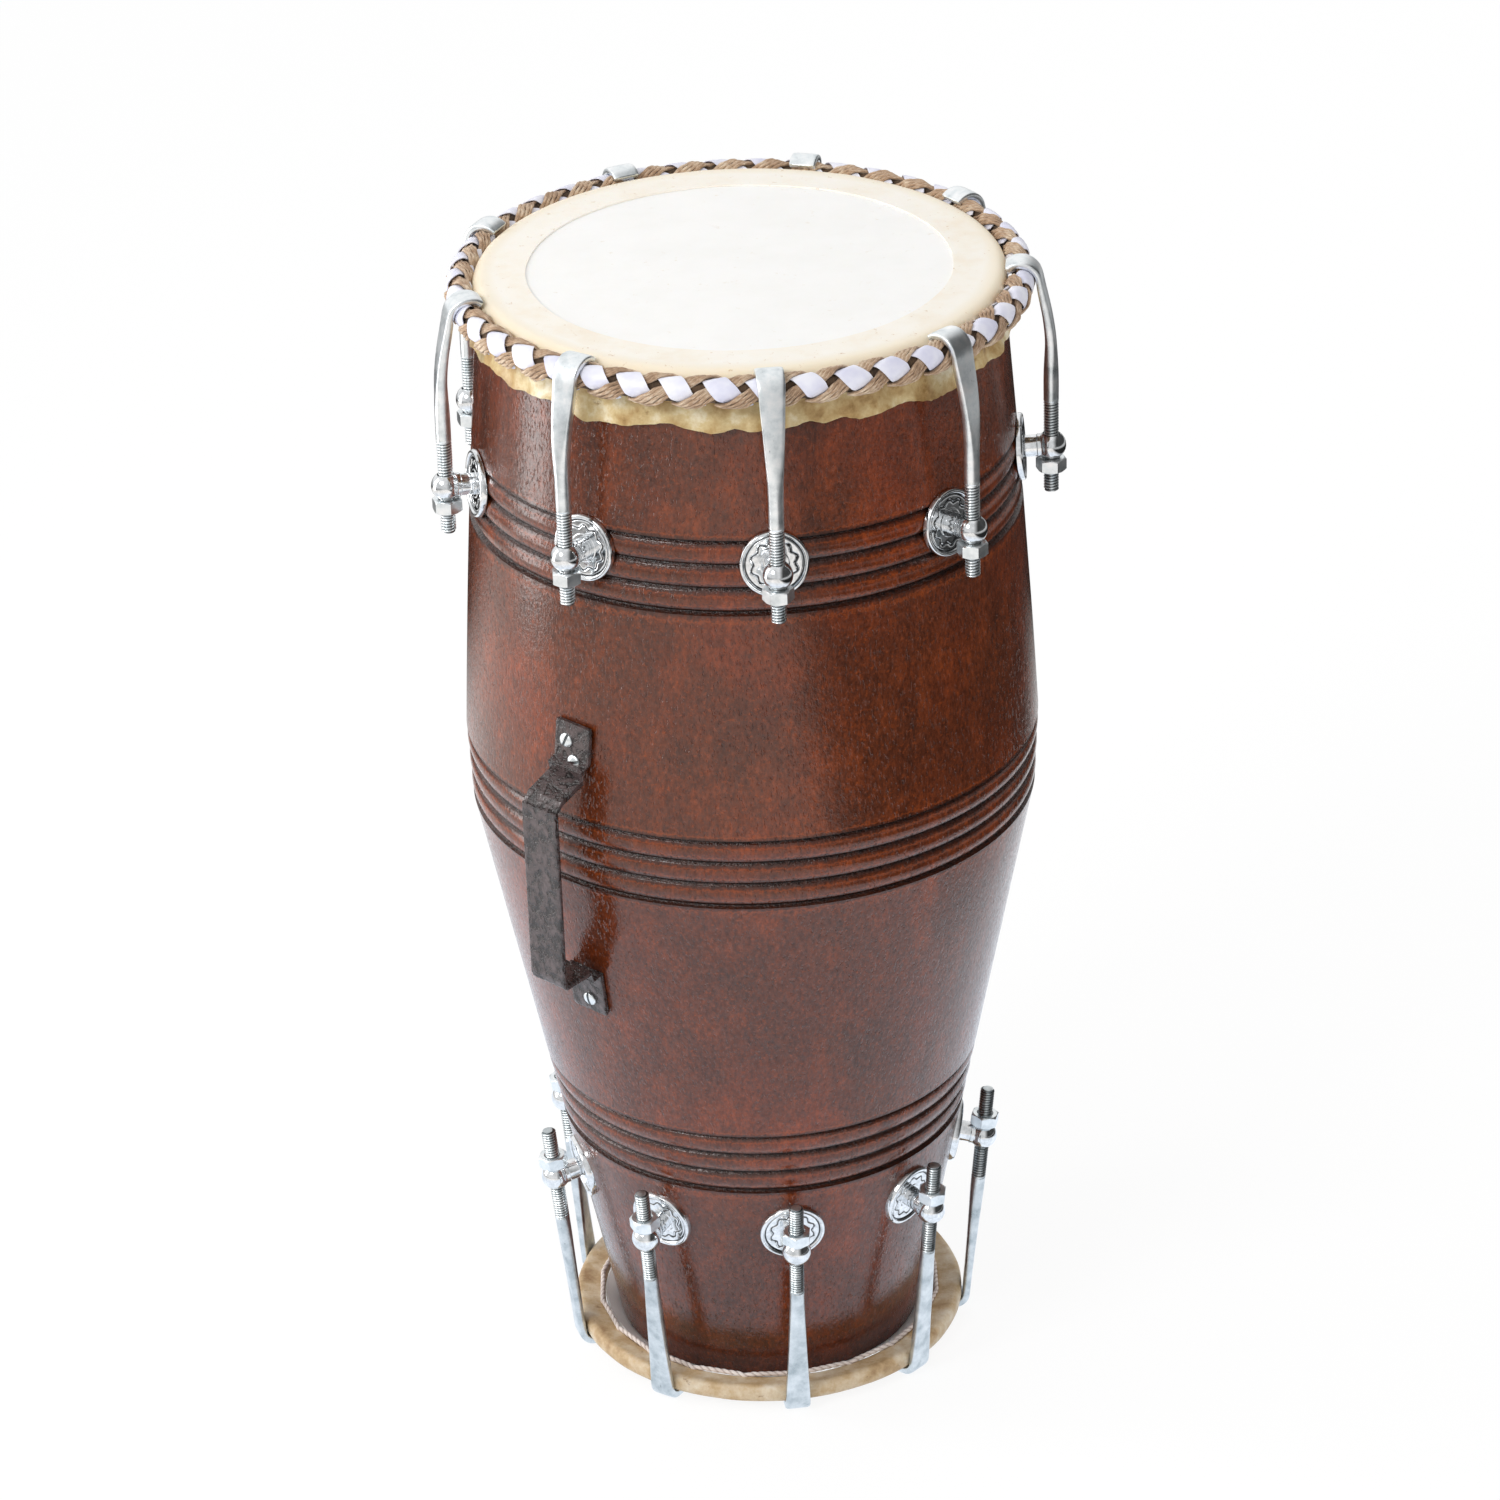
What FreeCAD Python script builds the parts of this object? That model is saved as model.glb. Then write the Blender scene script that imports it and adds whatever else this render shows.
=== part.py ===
import FreeCAD, Part
import math
import os

# Dholak, a two-headed wooden drum tuned by hooks, standing on its small end.
# Millimetres. +Z runs up the drum's axis, the origin is on the axis in the plane that the
# drum stands on, and -Y is the front.

# The drum as a whole
head_to_head = 500.0  # from one playing face to the other
station_count = 9  # tuning stations round each head
top_first_azimuth = -84.8  # degrees, the station nearest the front at the big head
bottom_first_azimuth = -82.8
full_turn = 360.0
half_turn = 180.0
quarter_turn = 90.0
seat_gap = 0.05  # between parts that bear on each other
rim_gap = 0.3  # between a hook and the rim that it holds
overrun = 5.0  # how far a cutting shape runs past what it cuts

# Shell, turned from one piece of wood
top_rim_radius = 107.2
belly_radius = 121.3
belly_height_share = 0.594  # of the distance between the heads
belly_drop = 1.3  # radius lost across the belly band
foot_radius = 66.2
upper_bulge = 0.9  # how far the upper flank swells past a straight line
shell_wall = 12.0
edge_rounding = 3.0  # on the two edges that the skins pass over

# Turned grooves, in three bands of the shell
groove_count = 4
groove_pitch = 10.0
groove_width = 2.6
groove_depth = 1.3
bead_crown = 0.35  # how far the wood between two grooves swells
top_band_share = 0.826  # height of the band's middle, of the distance between the heads
foot_band_share = 0.2506

# Skins
skin_thickness = 0.9
ring_skin_thickness = 0.7
ring_skin_width = 19.9  # from its inner edge to the shell's rim
skirt_thickness = 1.1
skirt_length = 12.0
paste_radius = 52.0
paste_thickness = 2.5

# Rim of the big head: a steel ring inside a round of braid
top_hoop_rod_radius = 3.0
braid_half_width = 5.1
braid_half_height = 6.0
braid_seam_height = 0.8  # where the skins' edges enter the braid

# Rim of the small head: a flat steel ring wrapped in hide, and its lacing
wrap_stand_off = 7.3  # from the shell's foot out to the rim
wrap_width = 12.8
wrap_height = 9.0
wrap_rounding = 3.3
wrap_thickness = 1.1
wrap_seam_width = 0.8  # where the hide's edges meet under the lacing
bottom_skin_flare = 35.0  # degrees that the skin turns up to the rim
lacing_cord_radius = 1.1
lacing_runs = 20
lacing_bend_radius = 5.0

# Tuning hooks: a threaded rod whose end is beaten flat and bent over the rim
rod_radius = 3.175
top_hook_thickness = 3.0
top_hook_half_width = 5.75  # at the top of the bend
top_hook_tip_angle = 132.0  # degrees round the braid, from straight out
top_taper_height = 45.0  # from the start of the flattening up to the head
top_knee_height = 27.0  # from the bend inwards up to the head
top_knee_half_width = 4.2
top_knee_half_thickness = 2.2
bottom_hook_thickness = 3.4
bottom_hook_half_width = 5.4
bottom_pad_length = 6.5  # how far the bent end reaches under the rim
bottom_flat_length = 12.0
bottom_taper_length = 42.0  # from the flat to the round rod
top_thread_tail = 9.5  # thread that stands past the nut
bottom_thread_tail = 12.5

# Tuning nuts
nut_across_flats = 11.11
nut_height = 5.6
nut_gap = 0.3  # between a nut and the rim of the hole in its ball
thread_gap = 0.06  # between a thread and its nut
nut_face_share = 0.94  # of the flats, the round face that the corner chamfers leave
nut_chamfer_share = 0.58  # rise of the chamfer for each unit outwards
hexagon_sides = 6

# Eyebolts
top_station_share = 0.8386  # height, of the distance between the heads
bottom_station_share = 0.174
ball_radius = 6.2
ball_hole_gap = 0.1  # between a rod and the hole that it slides through
ball_stand_off = 13.0  # from the wood to the ball's centre
neck_radius = 4.5
collar_radius = 4.9
collar_length = 2.0
stud_radius = 3.0
stud_hole_gap = 0.1
stud_tail = 2.0  # stud past its inner nut

# Rosettes under the eyebolts
rosette_radius = 14.0
rosette_rim_width = 2.2
rosette_rim_height = 1.9
rosette_dish_height = 1.0
rosette_hub_width = 1.6
rosette_back_depth = 1.6  # how far its back reaches before it is fitted to the shell

# Inner washers and nuts on the eyebolts' studs
washer_radius = 9.0
washer_thickness = 1.5
inner_nut_across_flats = 10.0
inner_nut_height = 5.0

# Carrying handle, a bent steel strap
handle_azimuth = -129.0
handle_skew = 3.4  # degrees that the strap leans about the radial line
handle_width = 17.6
handle_thickness = 2.5
handle_pad_bend_radius = 2.8  # of the middle of the strap's thickness
handle_bar_bend_radius = 2.2
handle_top_share = 0.6397  # height of the upper bend, of the distance between the heads
handle_top_pad_length = 21.6
handle_bottom_share = 0.4491
handle_bottom_pad_length = 25.7
handle_top_stand_off = 21.8  # from the wood to the middle of the bar's thickness
handle_bottom_stand_off = 23.9
handle_bar_drop = 6.3  # from the upper bend down to the bar's upper corner
handle_bar_rise = 0.2  # from the lower bend up to the bar's lower corner

# Handle screws: along the pad from its free end, and to the side of its middle
screw_head_radius = 3.1
screw_head_height = 1.3
screw_bevel_share = 0.6  # of the head's height and radius, where its bevel ends
screw_slot_width = 0.9
screw_slot_depth = 0.7
screw_shank_radius = 1.8
screw_length = 11.0
screw_point_length = 3.0
screw_hole_gap = 0.05
first_screw_run = 8.0
first_screw_side = -2.6
second_screw_run = 16.4
second_screw_side = 1.8
lower_screw_run = 7.2
lower_screw_side = 1.3

# Levels and radii that follow from the sizes above
skin_far = seat_gap + skin_thickness
ring_skin_near = skin_far + seat_gap
ring_skin_far = ring_skin_near + ring_skin_thickness
bottom_face_z = bottom_hook_thickness + rim_gap
top_face_z = bottom_face_z + head_to_head
shell_foot_z = bottom_face_z + skin_far
shell_top_z = top_face_z - ring_skin_far
belly_top_z = bottom_face_z + belly_height_share * head_to_head
belly_bottom_z = belly_top_z - (groove_count - 1) * groove_pitch
belly_bottom_radius = belly_radius - belly_drop
top_band_z = bottom_face_z + top_band_share * head_to_head
belly_band_z = (belly_top_z + belly_bottom_z) / 2
foot_band_z = bottom_face_z + foot_band_share * head_to_head
top_station_z = bottom_face_z + top_station_share * head_to_head
bottom_station_z = bottom_face_z + bottom_station_share * head_to_head
hoop_z = top_face_z - braid_half_height
skin_edge_z = hoop_z - braid_half_height
ring_skin_inner_radius = top_rim_radius - ring_skin_width
wrap_inner_radius = foot_radius + wrap_stand_off
wrap_outer_radius = wrap_inner_radius + wrap_width
wrap_top_z = bottom_face_z + wrap_height
lacing_radius = wrap_inner_radius + wrap_rounding


# Outline of the shell
def upper_flank_circle():
    """Centre and radius of the arc from the top rim to the belly."""
    rise = shell_top_z - belly_top_z
    run = belly_radius - top_rim_radius
    chord = math.hypot(rise, run)
    radius = (chord * chord / 4 + upper_bulge * upper_bulge) / (2 * upper_bulge)
    back = radius - upper_bulge
    centre_r = (top_rim_radius + belly_radius) / 2 - back * rise / chord
    centre_z = (shell_top_z + belly_top_z) / 2 - back * run / chord
    return centre_r, centre_z, radius


def outline_radius(z):
    """Outer radius of the shell at a height, grooves apart."""
    if z >= belly_top_z:
        centre_r, centre_z, radius = upper_flank_circle()
        return centre_r + math.sqrt(radius * radius - (z - centre_z) ** 2)
    if z >= belly_bottom_z:
        share = (belly_top_z - z) / (belly_top_z - belly_bottom_z)
        return belly_radius - share * belly_drop
    share = (z - shell_foot_z) / (belly_bottom_z - shell_foot_z)
    return foot_radius + share * (belly_bottom_radius - foot_radius)


def outline_tilt(z):
    """Angle in radians by which the shell's outward normal points up at a height."""
    fall = outline_radius(z - groove_width) - outline_radius(z + groove_width)
    return math.atan2(fall, 2 * groove_width)


# Shapes from outlines in the XZ plane
def outline_point(r, z):
    return FreeCAD.Vector(r, 0, z)


def outline_face(steps):
    """Face inside a closed round of steps, each an end point or an arc's middle and end."""
    edges = []
    here = outline_point(*steps[-1][-1])
    for step in steps:
        there = outline_point(*step[-1])
        if len(step) == 2:
            edges.append(Part.Arc(here, outline_point(*step[0]), there).toShape())
        else:
            edges.append(Part.LineSegment(here, there).toShape())
        here = there
    return Part.Face(Part.Wire(edges))


def turned(steps):
    """Solid swept by an outline round the drum's axis."""
    return outline_face(steps).revolve(FreeCAD.Vector(0, 0, 0), FreeCAD.Vector(0, 0, 1), full_turn)


def turned_about_x(steps):
    """Solid swept by an outline of (along, radius) points round the X axis."""
    return outline_face(steps).revolve(FreeCAD.Vector(0, 0, 0), FreeCAD.Vector(1, 0, 0), full_turn)


def slab(steps, half_width):
    """Solid of an outline, spread evenly to both sides of it."""
    face = outline_face(steps)
    face.translate(FreeCAD.Vector(0, -half_width, 0))
    return face.extrude(FreeCAD.Vector(0, 2 * half_width, 0))


def on_circle(centre, radius, degrees):
    angle = math.radians(degrees)
    return (centre[0] + radius * math.cos(angle), centre[1] + radius * math.sin(angle))


def arc_step(centre, radius, start_degrees, end_degrees):
    middle = on_circle(centre, radius, (start_degrees + end_degrees) / 2)
    return [middle, on_circle(centre, radius, end_degrees)]


def rounded_block(left, right, bottom, top, rounding):
    """Outline steps of a rectangle with round corners."""
    low_left = (left + rounding, bottom + rounding)
    low_right = (right - rounding, bottom + rounding)
    high_right = (right - rounding, top - rounding)
    high_left = (left + rounding, top - rounding)
    return [
        [(right - rounding, bottom)],
        arc_step(low_right, rounding, -quarter_turn, 0),
        [(right, top - rounding)],
        arc_step(high_right, rounding, 0, quarter_turn),
        [(left + rounding, top)],
        arc_step(high_left, rounding, quarter_turn, half_turn),
        [(left, bottom + rounding)],
        arc_step(low_left, rounding, -half_turn, -quarter_turn),
    ]


# Places
def stood_at(shape, place, tilt):
    """A shape tipped up about its origin by a tilt, then carried to a (radius, height)."""
    copy = shape.copy()
    copy.rotate(FreeCAD.Vector(0, 0, 0), FreeCAD.Vector(0, 1, 0), -math.degrees(tilt))
    copy.translate(outline_point(*place))
    return copy


def turned_to(shape, azimuth):
    copy = shape.copy()
    copy.rotate(FreeCAD.Vector(0, 0, 0), FreeCAD.Vector(0, 0, 1), azimuth)
    return copy


def station_azimuths(first_azimuth):
    return [first_azimuth + k * full_turn / station_count for k in range(station_count)]


def ring_of(shape, first_azimuth):
    """A copy of a shape at each station."""
    azimuths = station_azimuths(first_azimuth)
    return Part.makeCompound([turned_to(shape, azimuth) for azimuth in azimuths])


class Station:
    """Where an eyebolt stands: its seat on the wood, its tilt and its ball's centre."""

    def __init__(self, z, lift, first_azimuth):
        self.first_azimuth = first_azimuth
        self.lift = lift
        self.tilt = outline_tilt(z)
        self.seat = (outline_radius(z) + lift, z)
        self.ball = on_circle(self.seat, ball_stand_off, math.degrees(self.tilt))
        self.wall = (shell_wall + lift) * math.cos(self.tilt)
        bore_radius = (outline_radius(z) - shell_wall) / math.cos(self.tilt)
        hollow = bore_radius - math.sqrt(bore_radius**2 - washer_radius**2)
        self.washer_depth = self.wall + hollow + seat_gap
        self.nut_depth = self.washer_depth + washer_thickness + seat_gap


top_station = Station(top_station_z, bead_crown, top_first_azimuth)
bottom_station = Station(bottom_station_z, 0, bottom_first_azimuth)


# Handle
def off_shell(z, distance):
    return FreeCAD.Vector(outline_radius(z) + distance, 0, z)


handle_top_z = bottom_face_z + handle_top_share * head_to_head
handle_bottom_z = bottom_face_z + handle_bottom_share * head_to_head
handle_middle_z = (handle_top_z + handle_bottom_z) / 2


def on_handle(shape, z, side):
    """A shape built along +X, stood on the shell at a height under the strap."""
    stood = stood_at(shape, (outline_radius(z), z), outline_tilt(z))
    stood.translate(FreeCAD.Vector(0, side, 0))
    return skewed(stood)


def skewed(shape):
    """The strap's lean about the radial line through its middle, then its azimuth."""
    copy = shape.copy()
    middle = outline_point(0, handle_middle_z)
    copy.rotate(middle, FreeCAD.Vector(1, 0, 0), -handle_skew)
    return turned_to(copy, handle_azimuth)


def screw_places():
    upper_end = handle_top_z + handle_top_pad_length
    lower_end = handle_bottom_z - handle_bottom_pad_length
    return [
        (upper_end - first_screw_run, first_screw_side),
        (upper_end - second_screw_run, second_screw_side),
        (lower_end + lower_screw_run, lower_screw_side),
    ]


def screw_shank_steps(gap):
    """Outline of a screw's shank and point, from deep in the wood to under its head."""
    head_base = handle_thickness + 2 * seat_gap
    tip = head_base - screw_length
    radius = screw_shank_radius + gap
    return [[(tip - gap, 0)], [(tip + screw_point_length, radius)], [(head_base, radius)]]


def screw_hole():
    head_base = handle_thickness + 2 * seat_gap
    radius = screw_shank_radius + screw_hole_gap
    mouth = [[(head_base + overrun, radius)], [(head_base + overrun, 0)]]
    return turned_about_x(screw_shank_steps(screw_hole_gap) + mouth)


def make_screw():
    head_base = handle_thickness + 2 * seat_gap
    head_top = head_base + screw_head_height
    bevel_start = head_base + screw_bevel_share * screw_head_height
    head = [
        [(head_base, screw_head_radius)],
        [(bevel_start, screw_head_radius)],
        [(head_top, screw_bevel_share * screw_head_radius)],
        [(head_top, 0)],
    ]
    screw = turned_about_x(screw_shank_steps(0) + head)
    slot_corner = FreeCAD.Vector(
        head_top - screw_slot_depth, -screw_head_radius - overrun, -screw_slot_width / 2
    )
    slot_length = 2 * (screw_head_radius + overrun)
    slot = Part.makeBox(screw_slot_depth + overrun, slot_length, screw_slot_width, slot_corner)
    return screw.cut(slot)


def make_handle_screws():
    return Part.makeCompound([on_handle(make_screw(), *place) for place in screw_places()])


def strap_side(corners, bend_radii, offset):
    """Outline steps along one side of a bent strap, from its middle line's corners."""
    first = normal_of(corners[0], corners[1]) * offset + corners[0]
    steps = [[(first.x, first.z)]]
    for before, corner, after, bend_radius in zip(corners, corners[1:], corners[2:], bend_radii):
        arrive = (corner - before).normalize()
        depart = (after - corner).normalize()
        half_bend = arrive.getAngle(depart) / 2
        back = bend_radius * math.tan(half_bend)
        inward = (depart - arrive).normalize()
        centre = corner + inward * (bend_radius / math.cos(half_bend))
        entry = corner - arrive * back + normal_of(before, corner) * offset
        leave = corner + depart * back + normal_of(corner, after) * offset
        middle = centre - inward * entry.distanceToPoint(centre)
        steps.append([(entry.x, entry.z)])
        steps.append([(middle.x, middle.z), (leave.x, leave.z)])
    last = normal_of(corners[-2], corners[-1]) * offset + corners[-1]
    steps.append([(last.x, last.z)])
    return steps


def normal_of(start, end):
    """Unit normal to the left of the way from one point to another."""
    way = (end - start).normalize()
    return FreeCAD.Vector(-way.z, 0, way.x)


def make_handle():
    pad_middle = seat_gap + handle_thickness / 2
    corners = [
        off_shell(handle_top_z + handle_top_pad_length, pad_middle),
        off_shell(handle_top_z, pad_middle),
        off_shell(handle_top_z, handle_top_stand_off) - outline_point(0, handle_bar_drop),
        off_shell(handle_bottom_z, handle_bottom_stand_off) + outline_point(0, handle_bar_rise),
        off_shell(handle_bottom_z, pad_middle),
        off_shell(handle_bottom_z - handle_bottom_pad_length, pad_middle),
    ]
    bend_radii = [handle_pad_bend_radius, handle_bar_bend_radius]
    bend_radii += bend_radii[::-1]
    half = handle_thickness / 2
    steps = strap_side(corners, bend_radii, half) + strap_side(corners[::-1], bend_radii, half)
    strap = skewed(slab(steps, handle_width / 2))
    return strap.cut([on_handle(screw_hole(), *place) for place in screw_places()])


# Shell
def groove_levels(band_z):
    top = band_z + (groove_count - 1) * groove_pitch / 2
    return [top - k * groove_pitch for k in range(groove_count)]


def shell_stretch(from_z, to_z):
    """Outline step down the shell's outside, an arc on the upper flank."""
    end = (outline_radius(to_z), to_z)
    middle_z = (from_z + to_z) / 2
    return [(outline_radius(middle_z), middle_z), end] if to_z >= belly_top_z else [end]


def groove_steps(band_z):
    """Outline steps down one band of grooves, with a swelling bead between two grooves."""
    steps = []
    levels = groove_levels(band_z)
    for k, level in enumerate(levels):
        above = level + groove_width / 2
        below = level - groove_width / 2
        if k > 0:
            bead_z = (level + levels[k - 1]) / 2
            bead = (outline_radius(bead_z) + bead_crown, bead_z)
            steps.append([bead, (outline_radius(above), above)])
        bottom = (outline_radius(level) - groove_depth, level)
        steps.append([bottom, (outline_radius(below), below)])
    return steps


def top_edge_centre():
    z = shell_top_z - edge_rounding
    return (outline_radius(z) - edge_rounding, z)


def foot_edge_centre():
    z = shell_foot_z + edge_rounding
    return (outline_radius(z) - edge_rounding, z)


def shell_steps():
    """Outline of the shell's wall: over the top edge, down the outside and up the bore."""
    top_centre = top_edge_centre()
    foot_centre = foot_edge_centre()
    steps = [[(top_centre[0], shell_top_z)]]
    steps.append(arc_step(top_centre, edge_rounding, quarter_turn, 0))
    here = top_centre[1]
    for band_z in (top_band_z, belly_band_z, foot_band_z):
        levels = groove_levels(band_z)
        steps.append(shell_stretch(here, levels[0] + groove_width / 2))
        steps.extend(groove_steps(band_z))
        here = levels[-1] - groove_width / 2
    steps.append([(foot_centre[0] + edge_rounding, foot_centre[1])])
    steps.append(arc_step(foot_centre, edge_rounding, 0, -quarter_turn))
    steps.append([(foot_radius - shell_wall, shell_foot_z)])
    steps.append([(belly_bottom_radius - shell_wall, belly_bottom_z)])
    steps.append([(belly_radius - shell_wall, belly_top_z)])
    flank_z = (belly_top_z + shell_top_z) / 2
    flank = (outline_radius(flank_z) - shell_wall, flank_z)
    steps.append([flank, (top_rim_radius - shell_wall, shell_top_z)])
    return steps


def stud_holes(station):
    reach = station.wall + overrun
    base = FreeCAD.Vector(-reach, 0, 0)
    radius = stud_radius + stud_hole_gap
    hole = Part.makeCylinder(radius, reach + overrun, base, FreeCAD.Vector(1, 0, 0))
    stood = stood_at(hole, station.seat, station.tilt)
    return [turned_to(stood, azimuth) for azimuth in station_azimuths(station.first_azimuth)]


def make_shell():
    pilots = [on_handle(screw_hole(), *place) for place in screw_places()]
    holes = stud_holes(top_station) + stud_holes(bottom_station)
    return turned(shell_steps()).cut(holes + pilots)


# Skins
def top_layer(inner_radius, near, far):
    """A skin over the big head's edge, between two distances from the shell."""
    centre = top_edge_centre()
    far_radius = edge_rounding + far
    near_radius = edge_rounding + near
    edge_radius = outline_radius(skin_edge_z)
    return turned(
        [
            [(inner_radius, shell_top_z + near)],
            [(inner_radius, shell_top_z + far)],
            [(centre[0], shell_top_z + far)],
            arc_step(centre, far_radius, quarter_turn, 0),
            [(edge_radius + far, skin_edge_z)],
            [(edge_radius + near, skin_edge_z)],
            [on_circle(centre, near_radius, 0)],
            arc_step(centre, near_radius, 0, quarter_turn),
        ]
    )


def make_top_skin():
    return top_layer(0, seat_gap, skin_far)


def make_top_ring_skin():
    return top_layer(ring_skin_inner_radius, ring_skin_near, ring_skin_far)


def make_top_skirt():
    """The skins' margin, lying on the shell below the braid."""
    start_z = skin_edge_z - seat_gap
    end_z = start_z - skirt_length
    start_radius = outline_radius(start_z) + seat_gap
    end_radius = outline_radius(end_z) + seat_gap
    return turned(
        [
            [(start_radius, start_z)],
            [(start_radius + skirt_thickness, start_z)],
            [(end_radius + skirt_thickness, end_z)],
            [(end_radius, end_z)],
        ]
    )


def make_top_paste():
    base = outline_point(0, shell_top_z - paste_thickness)
    return Part.makeCylinder(paste_radius, paste_thickness, base)


def make_bottom_skin():
    """The small head's skin: flat inside the shell's edge, then turned up to its rim."""
    centre = foot_edge_centre()
    bend_end = bottom_skin_flare - quarter_turn
    far_radius = edge_rounding + skin_far
    near_radius = edge_rounding + seat_gap
    far_bend = on_circle(centre, far_radius, bend_end)
    near_bend = on_circle(centre, near_radius, bend_end)
    flare_run = wrap_inner_radius - seat_gap - far_bend[0]
    flare_length = flare_run / math.cos(math.radians(bottom_skin_flare))
    return turned(
        [
            [(0, shell_foot_z - skin_far)],
            [(centre[0], shell_foot_z - skin_far)],
            arc_step(centre, far_radius, -quarter_turn, bend_end),
            [on_circle(far_bend, flare_length, bottom_skin_flare)],
            [on_circle(near_bend, flare_length, bottom_skin_flare)],
            [near_bend],
            arc_step(centre, near_radius, bend_end, -quarter_turn),
            [(0, shell_foot_z - seat_gap)],
        ]
    )


# Rim of the big head
def braid_centre_radius():
    lowest_flank_z = hoop_z - (braid_half_height - braid_half_width)
    return outline_radius(lowest_flank_z) + ring_skin_far + seat_gap + braid_half_width


hoop_radius = braid_centre_radius()


def make_top_hoop():
    return Part.makeTorus(hoop_radius, top_hoop_rod_radius, outline_point(0, hoop_z))


def make_top_braid():
    straight = braid_half_height - braid_half_width
    upper = (hoop_radius, hoop_z + straight)
    lower = (hoop_radius, hoop_z - straight)
    braid = turned(
        [
            [(hoop_radius + braid_half_width, upper[1])],
            arc_step(upper, braid_half_width, 0, half_turn),
            [(hoop_radius - braid_half_width, lower[1])],
            arc_step(lower, braid_half_width, -half_turn, 0),
        ]
    )
    seam_base = outline_point(0, hoop_z - braid_seam_height / 2)
    seam = Part.makeCylinder(hoop_radius, braid_seam_height, seam_base)
    channel_radius = top_hoop_rod_radius + seat_gap
    channel = Part.makeTorus(hoop_radius, channel_radius, outline_point(0, hoop_z))
    return braid.cut([channel, seam])


# Rim of the small head
def rim_steps(inset):
    return rounded_block(
        wrap_inner_radius + inset,
        wrap_outer_radius - inset,
        bottom_face_z + inset,
        wrap_top_z - inset,
        wrap_rounding - inset,
    )


def make_bottom_hoop():
    return turned(rim_steps(wrap_thickness + seat_gap))


def make_bottom_wrap():
    channel = turned(rim_steps(wrap_thickness))
    low = wrap_top_z - wrap_thickness - wrap_rounding
    high = wrap_top_z + overrun
    seam_end = lacing_radius + wrap_seam_width
    seam = turned(
        [[(lacing_radius, low)], [(seam_end, low)], [(seam_end, high)], [(lacing_radius, high)]]
    )
    return turned(rim_steps(0)).cut([channel, seam])


def about_z(radians):
    return FreeCAD.Rotation(FreeCAD.Vector(0, 0, 1), math.degrees(radians))


def make_bottom_lacing():
    """Cord round the rim's inner edge, in straight runs with a bend at each stitch."""
    z = wrap_top_z + lacing_cord_radius + seat_gap
    half_step = math.pi / lacing_runs
    cut_back = lacing_bend_radius * math.tan(half_step)
    bend_rise = lacing_bend_radius * (1 / math.cos(half_step) - 1)
    middle = FreeCAD.Vector(lacing_radius - bend_rise, 0, z)
    arrive = about_z(-half_step) * FreeCAD.Vector(0, cut_back, 0)
    corner = FreeCAD.Vector(lacing_radius, 0, z)
    entry = corner - arrive
    leave = corner + about_z(half_step) * FreeCAD.Vector(0, cut_back, 0)
    edges = []
    for k in range(lacing_runs):
        here = about_z(2 * half_step * k)
        onward = about_z(2 * half_step * (k + 1))
        edges.append(Part.Arc(here * entry, here * middle, here * leave).toShape())
        edges.append(Part.LineSegment(here * leave, onward * entry).toShape())
    section = Part.Wire([Part.makeCircle(lacing_cord_radius, entry, arrive)])
    return Part.Wire(edges).makePipeShell([section], True, False)


# Hooks, each in a frame of its own with +X outwards and +Z along its rod
def tangent_degrees(corner, radius):
    """Angle at which a line from an outside corner touches a circle about the origin."""
    distance = math.hypot(corner[0], corner[1])
    return math.degrees(math.atan2(corner[1], corner[0]) + math.acos(radius / distance))


def rod_taper(rod_x, flat_z, round_z, half_thickness, half_width):
    """Stretch of a hook between its flat section and its round rod."""
    wide = rod_radius + seat_gap
    side = [
        [(-half_thickness, flat_z)],
        [(half_thickness, flat_z)],
        [(wide, round_z)],
        [(-wide, round_z)],
    ]
    front = [[(-half_width, flat_z)], [(half_width, flat_z)], [(wide, round_z)], [(-wide, round_z)]]
    across = turned_to(slab(front, half_width), quarter_turn)
    corner_radius = math.hypot(half_thickness, half_width) + seat_gap
    length = abs(round_z - flat_z)
    way = FreeCAD.Vector(0, 0, round_z - flat_z)
    cone = Part.makeCone(corner_radius, rod_radius, length, outline_point(0, flat_z), way)
    taper = slab(side, half_width).common(across).common(cone)
    taper.translate(outline_point(rod_x, 0))
    return taper


def rod(rod_x, from_z, to_z):
    low = min(from_z, to_z)
    return Part.makeCylinder(rod_radius, abs(to_z - from_z), outline_point(rod_x, low))


nut_seat = math.sqrt(ball_radius**2 - (rod_radius + ball_hole_gap) ** 2) + nut_gap


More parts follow.
